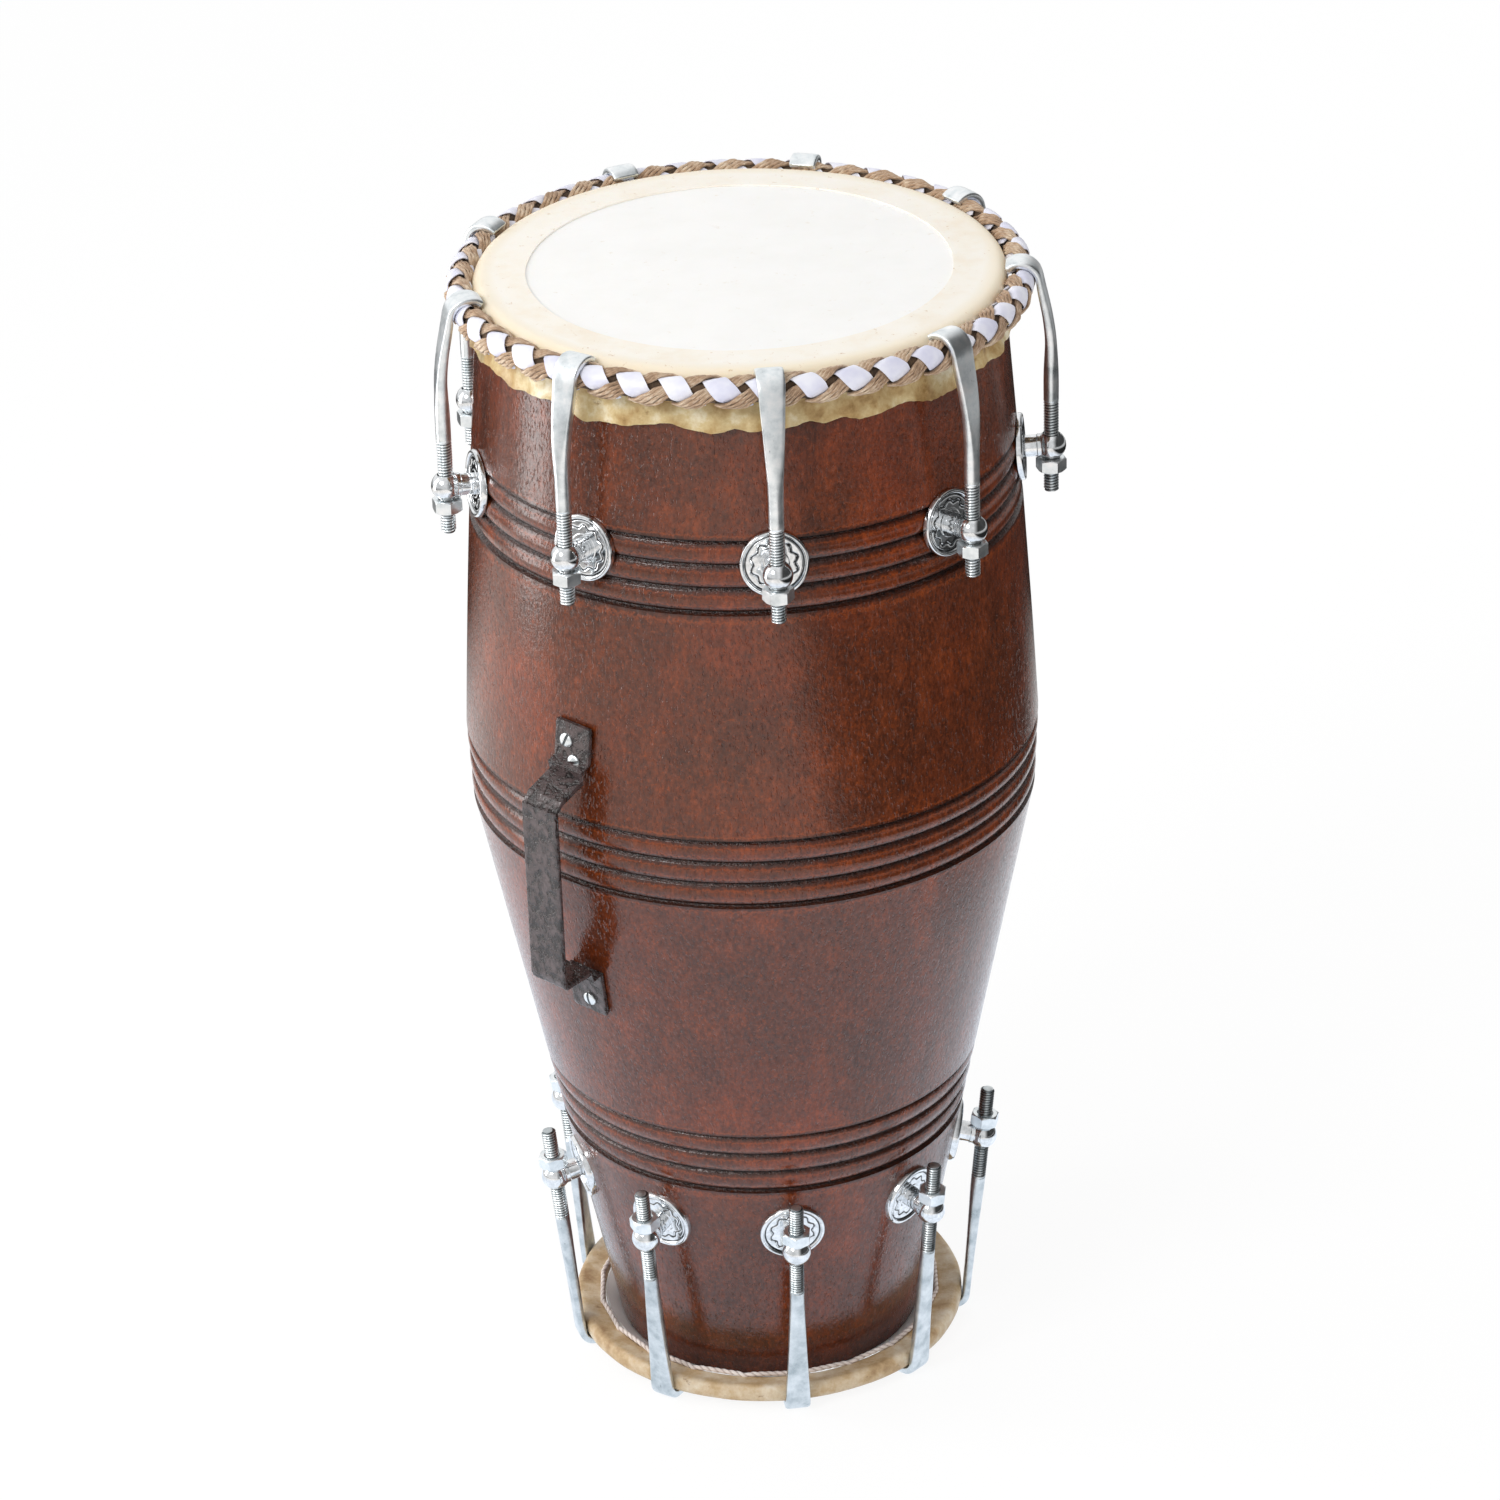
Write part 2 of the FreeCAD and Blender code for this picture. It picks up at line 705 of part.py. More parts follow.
def make_top_hook():
    """A hook of the big head: over the braid, down and out, then straight down."""
    rod_x = top_station.ball[0] - hoop_radius
    taper_z = braid_half_height - top_taper_height
    knee_z = braid_half_height - top_knee_height
    end_z = top_station.ball[1] - hoop_z - nut_seat - nut_height - top_thread_tail
    inner = braid_half_height + rim_gap
    outer = inner + top_hook_thickness
    knee_out = (rod_x + top_knee_half_thickness, knee_z)
    knee_in = (rod_x - top_knee_half_thickness, knee_z)
    touch_out = tangent_degrees(knee_out, outer)
    touch_in = tangent_degrees(knee_in, inner)
    centre = (0, 0)
    side = [
        [knee_out],
        [on_circle(centre, outer, touch_out)],
        arc_step(centre, outer, touch_out, top_hook_tip_angle),
        [on_circle(centre, inner, top_hook_tip_angle)],
        arc_step(centre, inner, top_hook_tip_angle, touch_in),
        [knee_in],
    ]
    front = [
        [(-top_knee_half_width, knee_z)],
        [(top_knee_half_width, knee_z)],
        [(top_hook_half_width, outer)],
        [(top_hook_half_width, outer + overrun)],
        [(-top_hook_half_width, outer + overrun)],
        [(-top_hook_half_width, outer)],
    ]
    across = turned_to(slab(front, rod_x + outer + overrun), quarter_turn)
    bend = slab(side, top_hook_half_width + overrun).common(across)
    taper = rod_taper(rod_x, knee_z, taper_z, top_knee_half_thickness, top_knee_half_width)
    hook = bend.fuse([taper, rod(rod_x, taper_z, end_z)]).removeSplitter()
    return stood_at(hook, (hoop_radius, hoop_z), 0)


# Line of the small head's hooks, from the ball past the lower outer corner of the rim
rim_corner = (wrap_outer_radius - wrap_rounding, bottom_face_z + wrap_rounding)
bottom_rod_x = wrap_rounding + rim_gap + bottom_hook_thickness / 2


def bottom_hook_lean():
    """Angle in radians by which the rod leans outwards from the rim up to the ball."""
    run = bottom_station.ball[0] - rim_corner[0]
    rise = bottom_station.ball[1] - rim_corner[1]
    return math.atan2(run, rise) - math.asin(bottom_rod_x / math.hypot(run, rise))


def bottom_ball_height():
    """Way along the rod from the level of the rim's corner to the ball's centre."""
    run = bottom_station.ball[0] - rim_corner[0]
    rise = bottom_station.ball[1] - rim_corner[1]
    return math.sqrt(run * run + rise * rise - bottom_rod_x * bottom_rod_x)


bottom_lean = bottom_hook_lean()
bottom_ball_z = bottom_ball_height()


def make_bottom_hook():
    """A hook of the small head: under the rim, round its corner and up to the ball."""
    inner = wrap_rounding + rim_gap
    outer = inner + bottom_hook_thickness
    lean = math.degrees(bottom_lean)
    centre = (0, 0)
    low = lean - quarter_turn
    inner_low = on_circle(centre, inner, low)
    outer_low = on_circle(centre, outer, low)
    side = [
        [(outer, bottom_flat_length)],
        [(inner, bottom_flat_length)],
        [(inner, 0)],
        arc_step(centre, inner, 0, low),
        [on_circle(inner_low, bottom_pad_length, lean + half_turn)],
        [on_circle(outer_low, bottom_pad_length, lean + half_turn)],
        [outer_low],
        arc_step(centre, outer, low, 0),
    ]
    bend = slab(side, bottom_hook_half_width)
    round_z = bottom_flat_length + bottom_taper_length
    half_thickness = bottom_hook_thickness / 2
    taper = rod_taper(
        bottom_rod_x, bottom_flat_length, round_z, half_thickness, bottom_hook_half_width
    )
    end_z = bottom_ball_z + nut_seat + nut_height + bottom_thread_tail
    hook = bend.fuse([taper, rod(bottom_rod_x, round_z, end_z)]).removeSplitter()
    return stood_at(hook, rim_corner, -bottom_lean)


# Nuts
def hexagon_nut(across_flats, height, bore_radius):
    """Hexagonal nut with chamfered corners, standing on the origin along +Z."""
    corner_radius = across_flats / 2 / math.cos(math.pi / hexagon_sides)
    step = full_turn / hexagon_sides
    corners = [on_circle((0, 0), corner_radius, k * step) for k in range(hexagon_sides + 1)]
    outline = Part.makePolygon([FreeCAD.Vector(x, y, 0) for x, y in corners])
    prism = Part.Face(outline).extrude(FreeCAD.Vector(0, 0, height))
    face_radius = nut_face_share * across_flats / 2
    wide = corner_radius + seat_gap
    rise = nut_chamfer_share * (wide - face_radius)
    blank = turned(
        [
            [(0, 0)],
            [(face_radius, 0)],
            [(wide, rise)],
            [(wide, height - rise)],
            [(face_radius, height)],
            [(0, height)],
        ]
    )
    bore = Part.makeCylinder(bore_radius, height + 2 * overrun, outline_point(0, -overrun))
    return prism.common(blank).cut(bore)


def make_tuning_nut():
    return hexagon_nut(nut_across_flats, nut_height, rod_radius + thread_gap)


def make_top_nut():
    ball_r, ball_z = top_station.ball
    return stood_at(make_tuning_nut(), (ball_r, ball_z - nut_seat - nut_height), 0)


def make_bottom_nut():
    ball_r, ball_z = bottom_station.ball
    seat_r = ball_r + nut_seat * math.sin(bottom_lean)
    seat_z = ball_z + nut_seat * math.cos(bottom_lean)
    return stood_at(make_tuning_nut(), (seat_r, seat_z), -bottom_lean)


# Eyebolts and what stands on them, each built along +X from its seat on the wood
def on_stations(shape, station):
    return ring_of(stood_at(shape, station.seat, station.tilt), station.first_azimuth)


def make_eyebolts(station, rod_lean):
    """Eyebolts: a drilled ball on a neck with a collar, and a stud through the wood."""
    stud_end = -(station.nut_depth + inner_nut_height + stud_tail)
    collar_edge = math.sqrt(ball_radius**2 - collar_radius**2)
    collar_end = ball_stand_off - collar_edge
    collar_start = collar_end - collar_length
    ball_centre = (ball_stand_off, 0)
    edge_degrees = math.degrees(math.atan2(collar_radius, -collar_edge))
    bolt = turned_about_x(
        [
            [(stud_end, 0)],
            [(stud_end, stud_radius)],
            [(seat_gap, stud_radius)],
            [(seat_gap, neck_radius)],
            [(collar_start, neck_radius)],
            [(collar_start, collar_radius)],
            [(collar_end, collar_radius)],
            arc_step(ball_centre, ball_radius, edge_degrees, 0),
        ]
    )
    lean = rod_lean + station.tilt
    way = FreeCAD.Vector(math.sin(lean), 0, math.cos(lean))
    reach = ball_radius + overrun
    base = outline_point(*ball_centre) - way * reach
    hole = Part.makeCylinder(rod_radius + ball_hole_gap, 2 * reach, base, way)
    return on_stations(bolt.cut(hole), station)


def make_rosettes(station):
    """Rosettes: round dished plates whose backs are fitted to the shell."""
    hole_radius = neck_radius + seat_gap
    hub_radius = hole_radius + rosette_hub_width
    rim_inner = rosette_radius - rosette_rim_width
    rim_middle = rosette_radius - rosette_rim_width / 2
    plate = turned_about_x(
        [
            [(-rosette_back_depth, hole_radius)],
            [(rosette_rim_height, hole_radius)],
            [(rosette_dish_height, hub_radius)],
            [(rosette_dish_height, rim_inner)],
            [(rosette_rim_height, rim_middle), (rosette_dish_height, rosette_radius)],
            [(-rosette_back_depth, rosette_radius)],
        ]
    )
    reach = rosette_radius + overrun
    low_z = station.seat[1] - reach
    high_z = station.seat[1] + reach
    off_wood = station.lift + seat_gap
    wood = Part.makeCone(
        outline_radius(low_z) + off_wood,
        outline_radius(high_z) + off_wood,
        2 * reach,
        outline_point(0, low_z),
    )
    fitted = stood_at(plate, station.seat, station.tilt).cut(wood)
    return ring_of(fitted, station.first_azimuth)


def make_inner_washers(station):
    bore_radius = stud_radius + stud_hole_gap
    near = -station.washer_depth
    far = near - washer_thickness
    washer = turned_about_x(
        [[(far, bore_radius)], [(far, washer_radius)], [(near, washer_radius)], [(near, bore_radius)]]
    )
    return on_stations(washer, station)


def make_inner_nuts(station):
    nut = hexagon_nut(inner_nut_across_flats, inner_nut_height, stud_radius + thread_gap)
    nut.rotate(FreeCAD.Vector(0, 0, 0), FreeCAD.Vector(0, 1, 0), -quarter_turn)
    nut.translate(FreeCAD.Vector(-station.nut_depth, 0, 0))
    return on_stations(nut, station)


def station_parts(name, shape, first_azimuth):
    """A node for each copy of a shape round the head."""
    azimuths = station_azimuths(first_azimuth)
    return {f"{name}_{k + 1}": turned_to(shape, azimuth) for k, azimuth in enumerate(azimuths)}


def make_parts():
    parts = {
        "shell": make_shell(),
        "top_skin": make_top_skin(),
        "top_ring_skin": make_top_ring_skin(),
        "top_paste": make_top_paste(),
        "top_hoop": make_top_hoop(),
        "top_braid": make_top_braid(),
        "top_skirt": make_top_skirt(),
        "bottom_skin": make_bottom_skin(),
        "bottom_hoop": make_bottom_hoop(),
        "bottom_wrap": make_bottom_wrap(),
        "bottom_lacing": make_bottom_lacing(),
        "top_eyebolts": make_eyebolts(top_station, 0),
        "bottom_eyebolts": make_eyebolts(bottom_station, bottom_lean),
        "top_rosettes": make_rosettes(top_station),
        "bottom_rosettes": make_rosettes(bottom_station),
        "top_inner_washers": make_inner_washers(top_station),
        "bottom_inner_washers": make_inner_washers(bottom_station),
        "top_inner_nuts": make_inner_nuts(top_station),
        "bottom_inner_nuts": make_inner_nuts(bottom_station),
        "handle": make_handle(),
        "handle_screws": make_handle_screws(),
    }
    parts.update(station_parts("top_hook", make_top_hook(), top_first_azimuth))
    parts.update(station_parts("top_nut", make_top_nut(), top_first_azimuth))
    parts.update(station_parts("bottom_hook", make_bottom_hook(), bottom_first_azimuth))
    parts.update(station_parts("bottom_nut", make_bottom_nut(), bottom_first_azimuth))
    return parts


os.makedirs("parts", exist_ok=True)
for node, shape in make_parts().items():
    shape.exportStep(f"parts/{node}.step")
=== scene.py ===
import bpy
import bmesh
import math
import random
from mathutils import Matrix, Vector, noise


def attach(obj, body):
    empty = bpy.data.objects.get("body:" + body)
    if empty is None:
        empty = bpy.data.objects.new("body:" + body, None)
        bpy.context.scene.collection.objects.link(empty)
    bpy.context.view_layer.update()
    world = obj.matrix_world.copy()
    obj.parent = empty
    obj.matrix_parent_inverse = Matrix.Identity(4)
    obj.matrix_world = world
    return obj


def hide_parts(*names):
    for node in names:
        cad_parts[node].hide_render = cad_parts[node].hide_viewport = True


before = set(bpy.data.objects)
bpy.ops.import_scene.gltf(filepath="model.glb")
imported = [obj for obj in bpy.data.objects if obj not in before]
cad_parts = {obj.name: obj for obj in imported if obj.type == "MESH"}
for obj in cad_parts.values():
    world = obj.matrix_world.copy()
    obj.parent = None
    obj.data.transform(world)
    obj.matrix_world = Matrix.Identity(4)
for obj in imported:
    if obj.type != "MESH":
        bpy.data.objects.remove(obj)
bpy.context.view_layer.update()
mm = 0.001
scene = bpy.context.scene
print("frame loaded", len(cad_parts), "nodes")


# tools for nodes

def linearColour(hexCode):
    value = int(hexCode.lstrip("#"), 16)
    parts = [(value >> shift & 255) / 255 for shift in (16, 8, 0)]
    return [c / 12.92 if c <= 0.04045 else ((c + 0.055) / 1.055) ** 2.4 for c in parts] + [1.0]


def setInputs(tree, node, inputs):
    # a socket is linked, and anything else is set as a value
    for key, value in inputs.items():
        socket = node.inputs[key]
        if isinstance(value, bpy.types.NodeSocket):
            tree.links.new(value, socket)
        elif isinstance(value, str) and value.startswith("#"):
            socket.default_value = linearColour(value)
        else:
            socket.default_value = value


def addNode(tree, kind, inputs=(), result=0, stops=(), **settings):
    # inputs come by name, or in their order; what comes back is the output that result names
    node = tree.nodes.new(kind)
    for name, value in settings.items():
        setattr(node, name, value)
    setInputs(tree, node, inputs if isinstance(inputs, dict) else dict(enumerate(inputs)))
    elements = node.color_ramp.elements if stops else []
    while len(elements) < len(stops):
        elements.new(0.5)
    for element, (place, colour) in zip(elements, stops):
        element.position = place
        element.color = linearColour(colour) if isinstance(colour, str) else (colour, colour, colour, 1)
    return node.outputs[result] if node.outputs else None


def newMaterial(name):
    material = bpy.data.materials.new(name)
    material.use_nodes = True
    tree = material.node_tree
    return material, tree, tree.nodes["Principled BSDF"], addNode(tree, "ShaderNodeTexCoord", result="Object")


def grainAt(tree, coords, size, detail=4.0, rough=0.55, stretch=1.0, offset=0.0):
    # noise whose cells are about size millimetres, drawn out upwards by stretch
    scale = 1 / (size * mm)
    place = addNode(tree, "ShaderNodeMapping", {
        "Vector": coords, "Scale": (scale, scale, scale / stretch), "Location": (offset, offset, offset)})
    return addNode(tree, "ShaderNodeTexNoise", {
        "Vector": place, "Scale": 1.0, "Detail": detail, "Roughness": rough}, "Fac")


# tools for meshes

def circle(count):
    return [2 * math.pi * k / count for k in range(count)]


def arc(x, z, radius, angles):
    return [(x + radius * math.cos(a), z + radius * math.sin(a)) for a in angles]


def turn(degrees, axis):
    return Matrix.Rotation(math.radians(degrees), 4, axis)


def move(x, y, z):
    return Matrix.Translation(Vector((x, y, z)) * mm)


def polar(r, a, z):
    # from millimetres to metres
    return Vector((r * math.cos(a), r * math.sin(a), z)) * mm


def noiseRound(a, size, height):
    # noise that closes on itself round the drum, with more lumps for a larger size
    return noise.noise(Vector((math.cos(a) * size, math.sin(a) * size, height)))


def smoothed(mesh, sharp):
    mesh.shade_smooth()
    mesh.set_sharp_from_angle(angle=math.radians(sharp))
    return mesh


def meshFrom(name, verts, faces, sharp=32):
    mesh = bpy.data.meshes.new(name)
    mesh.from_pydata(verts, [], faces)
    mesh.validate()
    mesh.update()
    return smoothed(mesh, sharp)


def addObject(name, data):
    thing = bpy.data.objects.new(name, data)
    scene.collection.objects.link(thing)
    return thing


def addPiece(name, mesh, material, node, body="drum"):
    mesh.materials.clear()
    mesh.materials.append(material)
    piece = addObject(name, mesh)
    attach(piece, body)
    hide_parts(node)


def markPoints(mesh, name, values):
    mesh.attributes.new(name, "FLOAT", "POINT").data.foreach_set("value", values)


def ringQuads(faces, first, second, count):
    for k in range(count):
        after = (k + 1) % count
        faces.append((first + k, first + after, second + after, second + k))


def sweepMesh(name, rings, sharp=32, closed=False):
    # rings of equal length along a path, joined with quads and capped at both ends
    count = len(rings[0])
    last = (len(rings) - 1) * count
    faces = []
    for start in range(0, last, count):
        ringQuads(faces, start, start + count, count)
    if closed:
        ringQuads(faces, last, 0, count)
    else:
        faces += [tuple(reversed(range(count))), tuple(range(last, last + count))]
    return meshFrom(name, [p for ring in rings for p in ring], faces, sharp)


def latheMesh(name, profile, segments, sharp=32, bend=None, closed=True):
    # profile of (radius, height) in millimetres, anticlockwise; a radius of 0 is a pole
    verts, rows, faces = [], [], []
    for r, z in profile:
        if r == 0:
            rows.append([len(verts)] * segments)
            verts.append((0, 0, z * mm))
            continue
        rows.append(range(len(verts), len(verts) + segments))
        for a in circle(segments):
            rr, zz = bend(r, z, a) if bend else (r, z)
            verts.append(polar(rr, a, zz))
    for low, high in zip(rows, rows[1:] + rows[:1] if closed else rows[1:]):
        for k in range(segments):
            n = (k + 1) % segments
            face = list(dict.fromkeys((low[k], low[n], high[n], high[k])))
            if len(face) > 2:
                faces.append(face)
    return meshFrom(name, verts, faces, sharp)


def smoothPath(points, steps):
    # a smooth curve through tuples of any length
    out = []
    for i in range(len(points) - 1):
        a, b, c, d = [points[min(max(i + k, 0), len(points) - 1)] for k in (-1, 0, 1, 2)]
        for t in [k / steps for k in range(steps)]:
            out.append(tuple(0.5 * (2 * q + (r - p) * t + (2 * p - 5 * q + 4 * r - s) * t * t
                                    + (3 * q - p - 3 * r + s) * t ** 3) for p, q, r, s in zip(a, b, c, d)))
    return out + [tuple(points[-1])]


def joinMeshes(name, meshes):
    bm = bmesh.new()
    for m in meshes:
        bm.from_mesh(m)
    joined = bpy.data.meshes.new(name)
    bm.to_mesh(joined)
    bm.free()
    joined.shade_smooth()
    return joined


def takeMesh(name, holder, helper):
    # the holder's mesh after its modifiers; both objects then go
    graph = bpy.context.evaluated_depsgraph_get()
    result = bpy.data.meshes.new_from_object(holder.evaluated_get(graph), depsgraph=graph)
    result.name = name
    for thing in (holder, helper):
        bpy.data.objects.remove(thing)
    return result


# one node tree sets copies of a mesh on marked points
def copiesTree():
    tree = bpy.data.node_groups.new("copiesOnMarks", "GeometryNodeTree")
    sockets = {"Marks": "Geometry", "Copy": "Object", "Finish": "Material", "Size": "Float"}
    for name, kind in sockets.items():
        tree.interface.new_socket(name, in_out="INPUT", socket_type="NodeSocket" + kind)
    tree.interface.new_socket("Pieces", in_out="OUTPUT", socket_type="NodeSocketGeometry")
    marks, copy, material, size = [addNode(tree, "NodeGroupInput", result=name) for name in sockets]
    shape = addNode(tree, "GeometryNodeObjectInfo", {"Object": copy}, "Geometry")
    euler = addNode(tree, "GeometryNodeInputNamedAttribute", {"Name": "turn"}, "Attribute",
                    data_type="FLOAT_VECTOR")
    spin = addNode(tree, "FunctionNodeEulerToRotation", {"Euler": euler})
    placed = addNode(tree, "GeometryNodeInstanceOnPoints", {
        "Points": marks, "Instance": shape, "Rotation": spin, "Scale": size})
    real = addNode(tree, "GeometryNodeRealizeInstances", {"Geometry": placed})
    finish = addNode(tree, "GeometryNodeSetMaterial", {"Geometry": real, "Material": material})
    addNode(tree, "NodeGroupOutput", {"Pieces": finish})
    return tree


copies = copiesTree()


def copiesOf(name, mesh, marks, material, sharp):
    # marks are (place, euler) pairs; the result is one plain mesh
    carrierMesh = bpy.data.meshes.new(name + "Marks")
    carrierMesh.from_pydata([place for place, euler in marks], [], [])
    turns = carrierMesh.attributes.new("turn", "FLOAT_VECTOR", "POINT")
    turns.data.foreach_set("vector", [c for place, euler in marks for c in euler])
    source, carrier = addObject(name + "Source", mesh), addObject(name + "Carrier", carrierMesh)
    modifier = carrier.modifiers.new("copies", "NODES")
    modifier.node_group = copies
    values = {"Copy": source, "Finish": material, "Size": 1.0}
    for item in copies.interface.items_tree:
        if item.in_out == "INPUT" and item.name in values:
            modifier[item.identifier] = values[item.name]
    return smoothed(takeMesh(name, carrier, source), sharp)


def cutWith(mesh, tool, name):
    # mesh minus tool, as a plain mesh
    blank, cutter = addObject(name + "Blank", mesh), addObject(name + "Cutter", tool)
    cut = blank.modifiers.new("cut", "BOOLEAN")
    cut.operation = "DIFFERENCE"
    cut.solver = "EXACT"
    cut.object = cutter
    return takeMesh(name, blank, cutter)


# camera and light

view = dict(focal=133.44, elevation=27.63, distance=2.370, aim=(-0.0015, 0.0, 0.2803), roll=0.0297)


def makeCamera():
    e, roll = math.radians(view["elevation"]), view["roll"]
    ahead = Vector((0, math.cos(e), -math.sin(e)))
    right, up = Vector((1, 0, 0)), Vector((0, math.sin(e), math.cos(e)))
    level = math.sqrt(1 - roll ** 2)
    right, up = right * level - up * roll, right * roll + up * level
    data = bpy.data.cameras.new("studioCamera")
    data.lens = view["focal"]
    data.sensor_width = 36
    data.clip_end = 20
    camera = addObject("studioCamera", data)
    basis = Matrix((right, up, -ahead)).transposed().to_4x4()
    camera.matrix_world = Matrix.Translation(Vector(view["aim"]) - ahead * view["distance"]) @ basis
    scene.camera = camera


# each lamp: place, height it aims at, power, width, height and whether mirrors show it; the tall panel
# close on the left is what the lacquer shows as a bright stripe
lamps = dict(
    keyLamp=((-1.5, -1.6, 2.0), 0.3, 26, 0.9, 0.9, True),
    fillLamp=((1.8, -1.5, 1.2), 0.25, 5.5, 1.6, 1.6, False),
    backLamp=((0.4, 2.0, 1.8), 0.4, 8, 1.6, 1.6, False),
    leftPanel=((-0.80, 0.02, 0.58), 0.58, 3.2, 0.24, 0.9, True))

# room is what reflections see on the camera's side and on the right, and the Y and X over which they change;
# sheet is the reach of the white sheet under the drum, with the width of its soft edge
light = dict(ambient=0.62, white=1.03,
             room=dict(front=0.8, right=0.06, frontY=(-0.7, 0.05), rightX=(0.15, 0.6)),
             sheet=dict(left=-1.2, right=0.4, front=-3.5, back=0.62, soft=0.2, cool=(0.25, 0.8)),
             floor=dict(half=6, grey=0.93, glow=0.86, far=(1.25, 1.8), dim=(0.02, 0.5)))


def makeLamps():
    for name, (place, aim, power, wide, high, mirrored) in lamps.items():
        data = bpy.data.lights.new(name, "AREA")
        data.energy = power
        data.shape = "RECTANGLE"
        data.size, data.size_y = wide, high
        lamp = addObject(name, data)
        lamp.location = place
        lamp.visible_glossy = mirrored
        lamp.rotation_euler = (Vector((0, 0, aim)) - Vector(place)).to_track_quat("-Z", "Y").to_euler()


def makeWorld():
    world = bpy.data.worlds.new("paleStudio")
    scene.world = world
    world.use_nodes = True
    tree = world.node_tree
    camera, glossy, through = [addNode(tree, "ShaderNodeLightPath", result=f"Is {ray} Ray")
                               for ray in ("Camera", "Glossy", "Transmission")]
    coords = addNode(tree, "ShaderNodeTexCoord", result="Object")
    x, y = [addNode(tree, "ShaderNodeSeparateXYZ", (coords,), axis) for axis in "XY"]
    room = light["room"]
    front = addNode(tree, "ShaderNodeMapRange", (y, *room["frontY"], room["front"], 1.0))
    right = addNode(tree, "ShaderNodeMapRange", (x, *room["rightX"], 1.0, room["right"]))
    seen = addNode(tree, "ShaderNodeMath", (front, right), operation="MULTIPLY")
    mirror = addNode(tree, "ShaderNodeMath", (glossy, through), operation="MAXIMUM")
    level = addNode(tree, "ShaderNodeMix", {0: mirror, 2: light["ambient"], 3: seen})
    level = addNode(tree, "ShaderNodeMix", {0: camera, 2: level, 3: 1.0})
    setInputs(tree, tree.nodes["Background"], {"Color": (1, 1, 1, 1), "Strength": level})


def makeFloor():
    ground, sheet, white = light["floor"], light["sheet"], light["white"]
    h, grey = ground["half"], ground["grey"]
    floor = addObject("studioFloor", meshFrom("studioFloor", [(-h, -h, 0), (h, -h, 0), (h, h, 0), (-h, h, 0)],
                                              [(0, 1, 2, 3)]))
    material, tree, shader, coords = newMaterial("paleFloor")
    setInputs(tree, shader, {"Base Color": (grey, grey, grey, 1), "Roughness": 0.9})
    camera, glossy = [addNode(tree, "ShaderNodeLightPath", result=f"Is {ray} Ray")
                      for ray in ("Camera", "Glossy")]
    # reflections see a white sheet under the drum, a dim floor past its edges and pale walls far off
    inside = 1.0
    for axis, limit, way in (("X", "left", 1), ("X", "right", -1), ("Y", "front", 1), ("Y", "back", -1)):
        place = addNode(tree, "ShaderNodeSeparateXYZ", (coords,), axis)
        reach = way * sheet["soft"] / 2
        edge = addNode(tree, "ShaderNodeMapRange", (place, sheet[limit] - reach, sheet[limit] + reach))
        inside = addNode(tree, "ShaderNodeMath", (inside, edge), operation="MULTIPLY")
    out = addNode(tree, "ShaderNodeVectorMath", (coords,), "Value", operation="LENGTH")
    dim = addNode(tree, "ShaderNodeMapRange", (out, *ground["far"], *ground["dim"]))
    dark = addNode(tree, "ShaderNodeEmission", {"Strength": dim})
    # the sheet is cooler close to the drum, in its shade
    near = addNode(tree, "ShaderNodeMapRange", (out, *sheet["cool"]))
    tone = addNode(tree, "ShaderNodeMix", {0: near, 6: (0.99, 1.06, 1.16, 1), 7: (1.04, 1.0, 0.96, 1)}, 2,
                   data_type="RGBA")
    cool = addNode(tree, "ShaderNodeEmission", {"Color": tone, "Strength": white})
    mirrored = addNode(tree, "ShaderNodeMixShader", (inside, dark, cool))
    glow = addNode(tree, "ShaderNodeEmission", {"Strength": white})
    glow = addNode(tree, "ShaderNodeMixShader", (glossy, glow, mirrored))
    # the camera sees mostly glow, and the rest keeps the drum's shadow
    share = addNode(tree, "ShaderNodeMath", (camera, ground["glow"], glossy), operation="MULTIPLY_ADD")
    blend = addNode(tree, "ShaderNodeMixShader", (share, shader.outputs[0], glow))
    setInputs(tree, tree.nodes["Material Output"], {"Surface": blend})
    floor.data.materials.append(material)


makeCamera()
makeLamps()
makeWorld()
makeFloor()
scene.view_settings.view_transform = "Standard"
print("camera and studio ready")


# finishes

